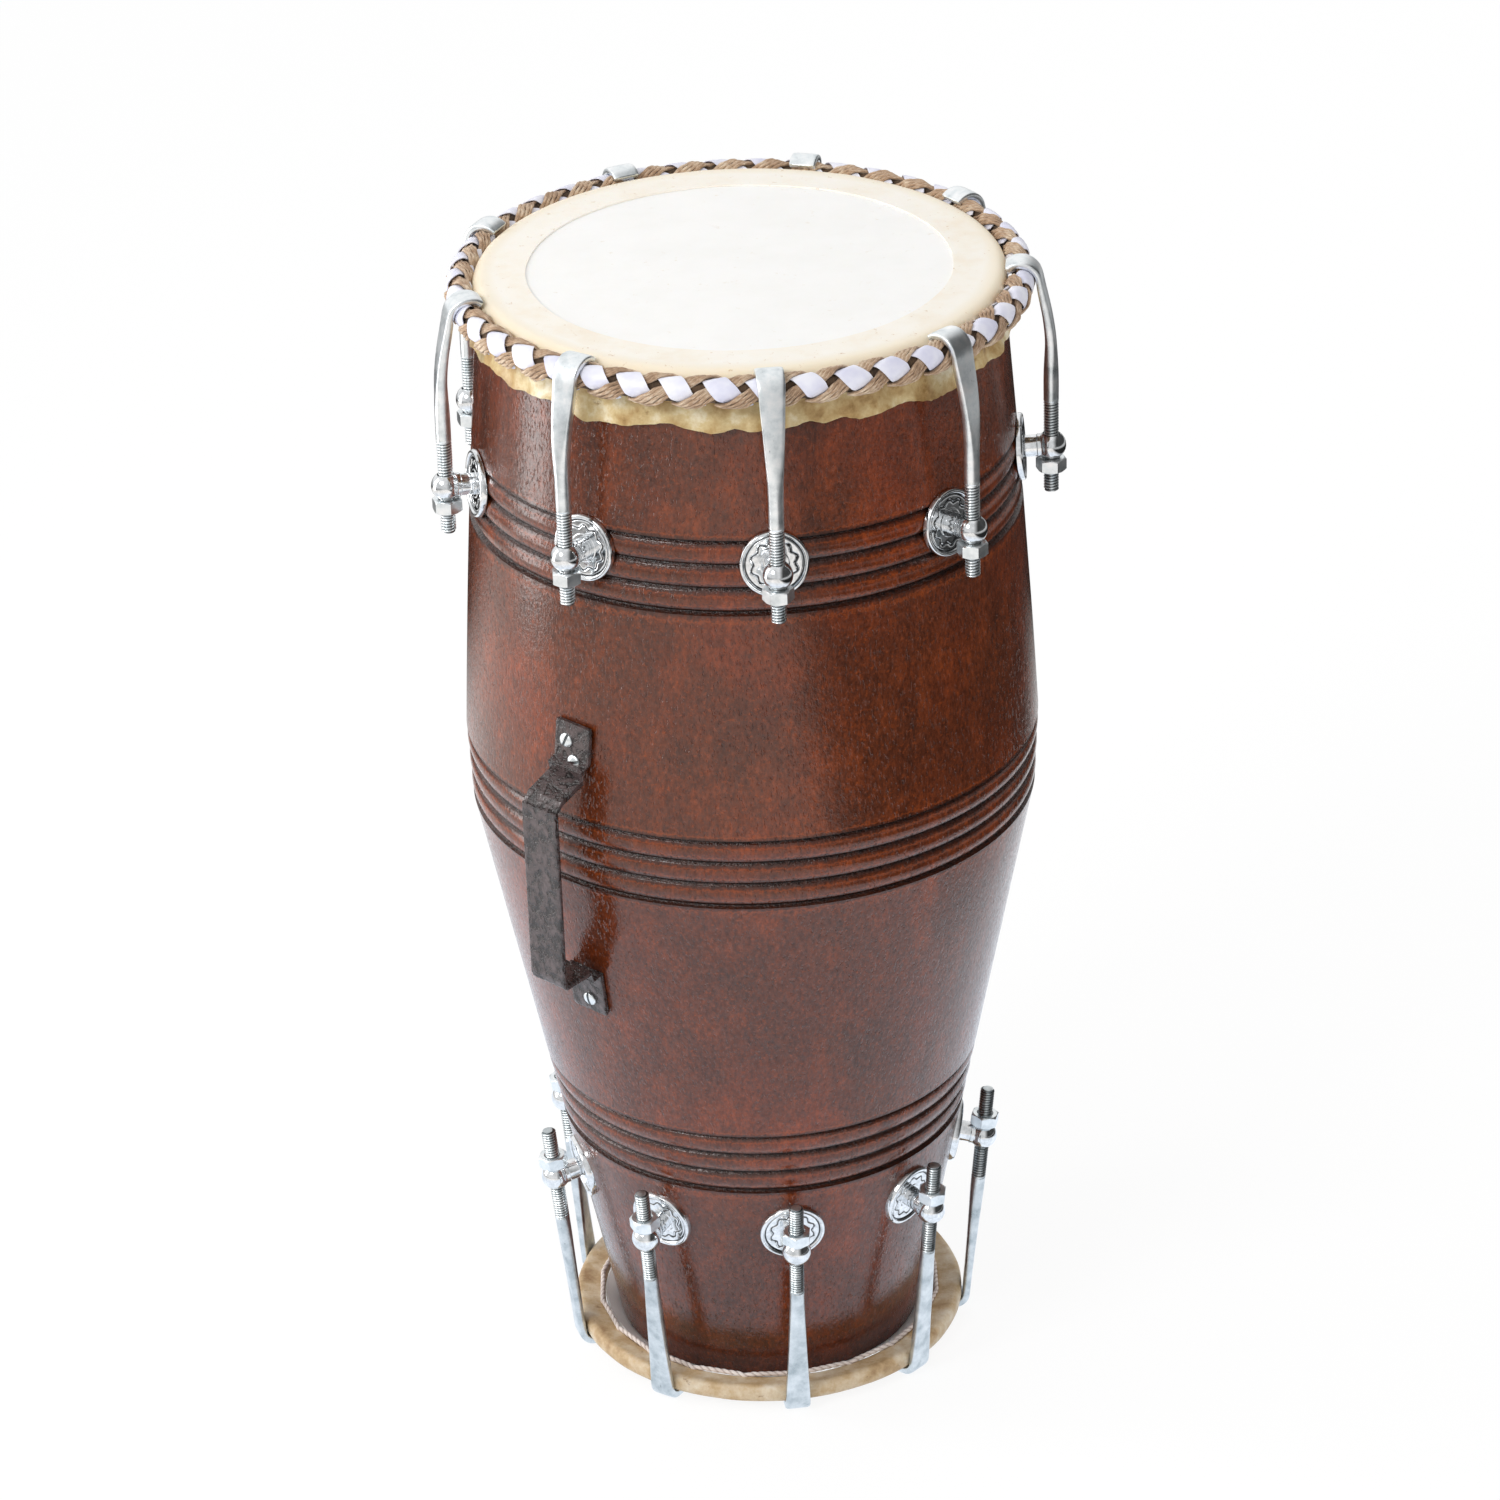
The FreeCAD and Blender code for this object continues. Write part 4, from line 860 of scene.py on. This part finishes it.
def rimMesh(name, inset, lumps):
    # the ring's section, or the same shrunk by inset, with a top that slopes down towards the drum
    r = rim
    inner, outer = r["inner"] + r["rounding"], r["outer"] - r["rounding"]
    low, high = r["low"] + r["rounding"], r["high"] - r["rounding"]
    profile = []
    for corner, start in (((outer, low), -90), ((outer, high), 0), ((inner, high), 90), ((inner, low), 180)):
        profile += arc(*corner, r["rounding"] - inset, [math.radians(start + 15 * k) for k in range(7)])

    def pucker(rr, z, a):
        # hide drawn round the ring lies in shallow lumps
        top = max(0.0, (z - 8) / 5)
        inward = (r["outer"] - rr) / (r["outer"] - r["inner"])
        return (rr + lumps * (0.3 * noiseRound(a, 6, z * 0.15) - 0.1),
                z + lumps * 0.25 * top * noiseRound(a, 12.6, z * 0.315) - (0.12 + r["slope"] * inward) * top)

    return latheMesh(name, profile, 300, 60, pucker)


def makeLacing():
    # straight runs of two-ply cord that dip where they go down into the hide
    n = rim["steps"]
    corners = [polar(rim["laceRadius"], a + math.pi / rim["runs"], rim["laceZ"]) for a in circle(rim["runs"])]
    path = []
    for first, second in zip(corners, corners[1:] + corners[:1]):
        for t in [(i + 0.5) / n for i in range(n)]:
            sink = 0.5 * (math.exp(-(t * n / 1.6) ** 2) + math.exp(-((1 - t) * n / 1.6) ** 2))
            path.append(first.lerp(second, t) - Vector((0, 0, sink)) * mm)
    rings, furrows = [], []
    for i, here in enumerate(path):
        up = Vector((0, 0, 1))
        side = (path[(i + 1) % len(path)] - path[i - 1]).normalized().cross(up)
        ring = []
        for a in circle(12):
            ply = abs(math.cos(a - i * math.pi / 3.4))
            # furrow marks painted shade between the plies
            furrows.append(1 - ply)
            ring.append(here + (up * math.cos(a) + side * math.sin(a)) * rim["cord"] * (0.76 + 0.36 * ply) * mm)
        rings.append(ring)
    mesh = sweepMesh("lacing", rings, 60, True)
    mesh.uv_layers.new(name="strand")
    markPoints(mesh, "furrow", furrows)
    addPiece("rimLacing", mesh, cotton, "bottom_lacing")


addPiece("hideWrappedRim", rimMesh("hideWrap", 0, 1), hide, "bottom_wrap")
addPiece("steelRimRing", rimMesh("rimRing", rim["ringInset"], 0), zinc, "bottom_hoop")
makeLacing()
print("small rim ready")


# hooks and nuts

hook = dict(rod=3.175, pitch=1.27, depth=0.62, ringsPerTurn=8, sides=24,
            topBall=(126.909, 423.958), topFirst=-84.8, bottomBall=(96.343, 88.123), bottomFirst=-82.8,
            lean=5.644, corner=(83.0, 7.0), seatTop=5.56,
            topThread=444.7, topPast=9.5, nose=7.8, bottomThread=60.0, bottomPast=12.5, bendRadius=5.3)
nut = dict(height=5.6, flats=11.11, bore=3.235, seed=11, sides=72)


def bladeRings(path):
    # path of (x, z, half width, half thickness, power): superellipses, round for 2 and flat bar for more
    rings = []
    for i, (x, z, wide, thick, power) in enumerate(path):
        before, after = path[max(i - 1, 0)], path[min(i + 1, len(path) - 1)]
        ahead = Vector((after[0] - before[0], 0, after[1] - before[1])).normalized()
        side = Vector((0, 1, 0))
        flat = ahead.cross(side)
        ring = []
        for a in circle(hook["sides"]):
            c, s = [math.copysign(abs(v) ** (2 / power), v) for v in (math.cos(a), math.sin(a))]
            ring.append(Vector((x, 0, z)) + side * wide * c + flat * thick * s)
        rings.append(ring)
    return rings


def threadRings(x, low, high, endsUp):
    # rings up a vertical thread; endsUp is true when its free end is at the top
    h = hook
    count = round((high - low) / h["pitch"] * h["ringsPerTurn"])
    rings = []
    for z in [low + (high - low) * i / count for i in range(count + 1)]:
        fromStart, fromEnd = (z - low, high - z) if endsUp else (high - z, z - low)
        ring = []
        for a in circle(h["sides"]):
            phase = (z / h["pitch"] - a / (2 * math.pi)) % 1.0
            ridge = min(1.0, max(0.0, abs(2 * phase - 1) * 1.25 - 0.1))
            r = h["rod"] - h["depth"] * ridge * min(1.0, fromStart / 1.5) - max(0.0, 0.7 - fromEnd)
            ring.append(Vector((x - math.sin(a) * r, math.cos(a) * r, z)))
        rings.append(ring)
    return rings


def hookMesh(name, x, rings, low, high):
    # root says how deep in the thread, between low and high, each point of the rod on the line x lies
    mesh = sweepMesh(name, [[p * mm for p in ring] for ring in rings], 48)
    roots = []
    for v in mesh.vertices:
        out = math.hypot(v.co.x / mm - x, v.co.y / mm)
        threaded = low <= v.co.z / mm <= high and out > 1.5
        roots.append(min(1.0, (hook["rod"] - out) / hook["depth"]) if threaded else 0.0)
    markPoints(mesh, "root", roots)
    return mesh


def topHookMesh():
    h = hook
    x, start = h["topBall"][0], h["topThread"]
    end = h["topBall"][1] - h["seatTop"] - nut["height"] - h["topPast"]
    marks = [(x, start + 0.3, 3.12, 3.12, 2.0), (x, 452, 3.15, 3.15, 2.0), (x, 458, 3.17, 3.05, 2.1),
             (x, 464, 3.3, 2.75, 2.7), (x - 0.1, 470, 3.65, 2.42, 3.6), (x - 0.6, 476, 4.0, 2.2, 4.5),
             (x - 1.6, 483, 4.4, 2.0, 5.5), (x - 2.9, 489.5, 4.8, 1.85, 6), (x - 4.0, 495, 5.1, 1.7, 6)]
    # the nose lies round the plait
    for degrees, wide in ((12, 5.3), (35, 5.5), (60, 5.65), (85, 5.7), (110, 5.7), (131, 5.65)):
        marks += [(*arc(plait["radius"], plait["z"], h["nose"], [math.radians(degrees)])[0], wide, 1.5, 6)]
    blade = smoothPath(marks, 7)
    tx, tz, wide, thick, power = blade[-1]
    blade.append((tx - 0.25, tz - 0.2, wide - 0.35, thick - 0.35, 5))
    return hookMesh("topHook", x, threadRings(x, end, start, False) + bladeRings(blade), end, start - 1)


def bottomHookMesh():
    # built with its rod upright on the rim's corner, then leaned
    h = hook
    x, start = h["bendRadius"], h["bottomThread"]
    ball = math.hypot(h["bottomBall"][0] - h["corner"][0], h["bottomBall"][1] - h["corner"][1])
    end = math.sqrt(ball ** 2 - x ** 2) + h["seatTop"] + nut["height"] + h["bottomPast"]
    low = h["lean"] - 90
    inward = Vector((math.sin(math.radians(low)), 0, -math.cos(math.radians(low))))
    under = Vector((x * math.cos(math.radians(low)), 0, x * math.sin(math.radians(low))))
    marks = []
    for reach, wide in ((6.3, 5.1), (4.5, 5.35), (2.2, 5.4)):
        p = under + inward * reach
        marks.append((p.x, p.z, wide, 1.7, 6))
    bend = [math.radians(low * k) for k in (1, 0.75, 0.5, 0.25, 0)]
    marks += [(*p, 5.35, 1.7, 6) for p in arc(0, 0, x, bend)]
    marks += [(x, 6, 5.15, 1.75, 6), (x, 14, 4.75, 1.85, 5.5), (x, 24, 4.25, 2.05, 5), (x, 34, 3.85, 2.35, 4.2),
              (x, 44, 3.5, 2.7, 3.2), (x, 52, 3.25, 3.0, 2.4), (x, 57, 3.15, 3.12, 2.05),
              (x, start - 0.2, 3.12, 3.12, 2.0)]
    blade = smoothPath(marks, 6)
    tx, tz, wide, thick, power = blade[0]
    blade.insert(0, (tx + inward.x * 0.2, tz + inward.z * 0.2, wide - 0.35, thick - 0.35, 5))
    mesh = hookMesh("bottomHook", x, bladeRings(blade) + threadRings(x, start, end, True), start + 1, end)
    mesh.transform(move(h["corner"][0], 0, h["corner"][1]) @ turn(h["lean"], "Y"))
    return mesh


def nutMesh():
    flat, height, bore = nut["flats"] / 2, nut["height"], nut["bore"]
    inner, outer = flat * 0.95, flat / math.cos(math.pi / 6)
    chamfer, rise = 0.45, 0.58

    def hexagon(z, limit):
        # a hexagon cut off at the radius limit, which rounds its corners towards both faces
        return [polar(min(flat / math.cos(a % (math.pi / 3) - math.pi / 6), limit), a, z)
                for a in circle(nut["sides"])]

    limits = [inner + (outer - inner) * k / 4 for k in range(5)]
    rings = [hexagon((limit - inner) * rise, limit) for limit in limits]
    rings += [hexagon(height - (limit - inner) * rise, limit) for limit in reversed(limits)]
    rings += [flatRing(z, r, nut["sides"]) for z, r in ((height, bore + chamfer), (height - chamfer, bore),
                                                        (chamfer, bore), (0, bore + chamfer))]
    return sweepMesh("tuningNut", rings, 20, True)


def flatRing(z, r, sides):
    return [polar(r, a, z) for a in circle(sides)]


def addRound(kind, end, k, a, mesh, material):
    # one of the nine round the drum, turned to its azimuth, on its own body
    mesh = mesh.copy()
    mesh.transform(turn(a, "Z"))
    node = f"{end}_{kind.lower()}_{k}"
    addPiece(f"{end}{kind}{k}", mesh, material, node, node)


def azimuths(end):
    return [hook[end + "First"] + 40 * k for k in range(9)]


def makeHooks():
    h = hook
    for end, mesh, finish in (("top", topHookMesh(), zinc), ("bottom", bottomHookMesh(), greyerZinc)):
        for k, a in enumerate(azimuths(end), 1):
            addRound("Hook", end, k, a, mesh, finish)
    # each nut is turned by chance
    chance = random.Random(nut["seed"])
    blank = nutMesh()
    for end, lift, lean in (("top", -h["seatTop"] - nut["height"], 0.0), ("bottom", h["seatTop"], h["lean"])):
        r, z = h[end + "Ball"]
        for k, a in enumerate(azimuths(end), 1):
            mesh = blank.copy()
            spin = Matrix.Rotation(chance.uniform(0, 1.05), 4, "Z")
            mesh.transform(move(r, 0, z) @ turn(lean, "Y") @ move(0, 0, lift) @ spin)
            addRound("Nut", end, k, a, mesh, zinc)


makeHooks()
print("hooks and nuts ready")


# eyebolts and rosettes

eyebolt = dict(topTilt=4.226, bottomTilt=-11.432, ball=6.2, hole=3.275, standOff=13.0, neck=4.5, collar=4.9,
               collarLength=2.0, stud=3.0, studEnd=-21.0)
rosette = dict(radius=14.0, hole=4.55, hub=5.8, petals=10, scallop=9.0, wave=0.7, line=11.8, rim=1.9, dish=1.0,
               rimStart=12.1, rimMiddle=13.05, press=0.4, rings=46, sides=160)


def eyeboltMesh(lean):
    # a turned blank whose height is the way out along the bolt, drilled for the hook's rod
    e = eyebolt
    edge = math.sqrt(e["ball"] ** 2 - e["collar"] ** 2)
    end = e["standOff"] - edge
    start = end - e["collarLength"]
    profile = [(0, e["studEnd"]), (e["stud"], e["studEnd"]), (e["stud"], 0.05), (e["neck"], 0.05),
               (e["neck"], start), (e["collar"] - 0.3, start), (e["collar"], start + 0.35),
               (e["collar"], end - 0.45)]
    first = math.atan2(-edge, e["collar"])
    profile += arc(0, e["standOff"], e["ball"], [first + (math.pi / 2 - first) * k / 12 for k in range(12)])
    profile.append((0, e["standOff"] + e["ball"]))
    mesh = latheMesh("eyeboltBlank", profile, 48, 40, closed=False)
    mesh.transform(turn(90, "Y"))
    tool = sweepMesh("drill", [flatRing(z, e["hole"] + 0.3, 32) for z in (-9, 9)])
    tool.transform(move(e["standOff"], 0, 0) @ turn(lean, "Y"))
    return cutWith(mesh, tool, "eyebolt")


def rosetteMesh(seatRadius):
    # pressed plate: round rim, a round line and a scalloped one, a plain hub, and a back that fits the shell
    p, angles = rosette, circle(rosette["sides"])
    faceRadii = [p["hole"] + (p["radius"] - p["hole"]) * k / p["rings"] for k in range(p["rings"] + 1)]
    backRadii = [p["radius"], (p["radius"] + p["hole"]) / 2, p["hole"]]

    def pressed(r, a):
        # 1 in the middle of a pressed line
        scallop = p["scallop"] + p["wave"] * math.cos(p["petals"] * a)
        return max(math.exp(-((r - scallop) / 0.4) ** 2), math.exp(-((r - p["line"]) / 0.35) ** 2))

    def front(r, a):
        if r > p["rimStart"]:
            across = (r - p["rimMiddle"]) / (p["radius"] - p["rimMiddle"])
            return p["dish"] + (p["rim"] - p["dish"]) * math.sqrt(max(0.0, 1 - across ** 2))
        return p["dish"] + 0.1 - p["press"] * pressed(r, a) + (0.3 if r < p["hub"] else 0.0)

    def back(r, a):
        return math.sqrt(seatRadius ** 2 - (r * math.sin(a)) ** 2) - seatRadius + 0.04

    rings = [[Vector((side(r, a), r * math.sin(a), r * math.cos(a))) * mm for a in angles]
             for side, radii in ((front, faceRadii), (back, backRadii)) for r in radii]
    mesh = sweepMesh("rosettePlate", rings, 30, True)
    # the pressed lines are marked as root, where the chrome gets painted shade
    lines = [pressed(r, a) for r in faceRadii for a in angles]
    markPoints(mesh, "root", lines + [0.0] * (len(backRadii) * len(angles)))
    return mesh


def makeStations():
    for end, lean in (("top", 0.0), ("bottom", hook["lean"])):
        tilt, (r, z) = eyebolt[end + "Tilt"], hook[end + "Ball"]
        t = math.radians(tilt)
        r, z = r - eyebolt["standOff"] * math.cos(t), z - eyebolt["standOff"] * math.sin(t)
        marks = []
        for a in azimuths(end):
            place = turn(a, "Z") @ move(r, 0, z) @ turn(-tilt, "Y")
            marks.append((tuple(place.translation), tuple(place.to_euler())))
        blanks = (("Eyebolts", eyeboltMesh(lean + tilt), 40), ("Rosettes", rosetteMesh(r), 65))
        for kind, blank, sharp in blanks:
            mesh = copiesOf(end + kind, blank, marks, chrome, sharp)
            addPiece(end + kind, mesh, chrome, f"{end}_{kind.lower()}")


makeStations()
print("eyebolts and rosettes ready")


# handle

handle = dict(azimuth=-129.0, skew=3.4, width=17.6, thick=2.5, edge=0.5, middleZ=275.9,
              bends=(5.2, 2.4, 1.7, 5.0), topZ=323.55, topPad=21.6, bottomZ=228.25, bottomPad=25.7,
              topOff=21.8, bottomOff=23.9, drop=6.3, rise=0.2, step=1.6, dent=0.16,
              screws=((337.15, -2.6, 70), (328.75, 1.8, 20), (209.75, 1.3, 100)))


def handlePath():
    # the strap's middle line, with an arc at each bend, as (point, direction)
    h = handle
    seat = 0.05 + h["thick"] / 2
    top, bottom = h["topZ"], h["bottomZ"]
    corners = [Vector((shellRadius(level) + off, 0, level + shift)) for level, off, shift in (
        (top + h["topPad"], seat, 0), (top, seat, 0), (top, h["topOff"], -h["drop"]),
        (bottom, h["bottomOff"], h["rise"]), (bottom, seat, 0), (bottom - h["bottomPad"], seat, 0))]
    path = []
    here = corners[0]
    for before, corner, after, bend in zip(corners, corners[1:], corners[2:], h["bends"]):
        arrive, depart = (corner - before).normalized(), (after - corner).normalized()
        half = arrive.angle(depart) / 2
        back = bend * math.tan(half)
        entry, leave = corner - arrive * back, corner + depart * back
        centre = corner + (depart - arrive).normalized() * (bend / math.cos(half))
        steps = max(2, int((entry - here).length / h["step"]))
        path += [(here.lerp(entry, k / steps), arrive) for k in range(steps)]
        for t in [k / 8 for k in range(8)]:
            path.append((centre + (entry - centre).slerp(leave - centre, t), arrive.slerp(depart, t)))
        here = leave
    last = (corners[-1] - corners[-2]).normalized()
    steps = int((corners[-1] - here).length / h["step"])
    return path + [(here.lerp(corners[-1], k / steps), last) for k in range(steps + 1)]


def onHandle():
    up = handle["middleZ"]
    return turn(handle["azimuth"], "Z") @ move(0, 0, up) @ turn(-handle["skew"], "X") @ move(0, 0, -up)


def makeHandle():
    h = handle
    edge = h["edge"]
    y, x = h["width"] / 2 - edge, h["thick"] / 2 - edge
    outline = []
    # rounded corners, with points between them on the two broad faces
    for cy, cx, start in ((y, x, 0), (-y, x, 90), (-y, -x, 180), (y, -x, 270)):
        outline += arc(cy, cx, edge, [math.radians(start + 30 * k) for k in range(4)])
        if start in (0, 180):
            face = math.copysign(x + edge, cx)
            outline += [(cy - 2 * cy * j / 9, face) for j in range(1, 9)]
    path = handlePath()
    rings = []
    for i, (centre, ahead) in enumerate(path):
        side = Vector((0, 1, 0))
        out = ahead.cross(side)
        wide, thick = (0.965, 0.72) if i in (0, len(path) - 1) else (1.0, 1.0)
        ring = []
        for y, x in outline:
            p = centre + side * y * wide + out * x * thick
            dent = noise.noise(Vector((y * 0.23, (centre.z + centre.x) * 0.23, x)))
            dent = h["dent"] * (dent + 0.4 * noise.noise(Vector((y, centre.z, x * 2)) * 0.8))
            ring.append((p + out * dent * (1 if x > 0 else 0.2)) * mm)
        rings.append(ring)
    mesh = sweepMesh("strap", rings, 38)
    mesh.transform(onHandle())
    addPiece("carryHandle", mesh, strapPaint, "handle")


def screwMesh():
    # a raised head with a slot, whose floor is marked for painted shade
    profile = [(0, -8.0), (1.8, -5.0), (1.8, 2.62), (3.1, 2.62), (3.12, 3.1), (2.9, 3.45), (2.3, 3.75),
               (1.3, 3.93), (0, 4.0)]
    mesh = latheMesh("screwBlank", profile, 36, 40, closed=False)
    mesh.transform(turn(90, "Y"))
    floor, top, long, half = 3.05, 5.15, 4.5, 0.625
    corners = ((floor, -long), (top, -long), (top, long), (floor, long))
    tool = sweepMesh("slot", [[Vector((x, y, z)) * mm for x, y in corners] for z in (-half, half)])
    screw = cutWith(mesh, tool, "slottedScrew")
    slotShade = [floor - 0.15 < v.co.x / mm < floor + 0.02 and abs(v.co.z) < 0.7 * mm for v in screw.vertices]
    markPoints(screw, "root", [float(d) for d in slotShade])
    return screw


def makeScrews():
    marks = []
    for z, side, slotTurn in handle["screws"]:
        tilt = math.degrees(math.atan2(shellRadius(z - 2.6) - shellRadius(z + 2.6), 5.2))
        full = onHandle() @ move(shellRadius(z), side, z) @ turn(-tilt, "Y") @ turn(slotTurn, "X")
        marks.append((tuple(full.translation), tuple(full.to_euler())))
    mesh = copiesOf("handleScrews", screwMesh(), marks, zinc, 40)
    addPiece("handleScrews", mesh, zinc, "handle_screws")


makeHandle()
makeScrews()
print("handle ready")


# finishes of the pieces that stay as they were built

builtFinishes = dict(top_hoop=zinc, top_inner_washers=zinc, bottom_inner_washers=zinc, top_inner_nuts=zinc,
                     bottom_inner_nuts=zinc, top_paste=paste)
for name, finish in builtFinishes.items():
    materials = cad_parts[name].data.materials
    materials.clear()
    materials.append(finish)

print("all pieces ready")
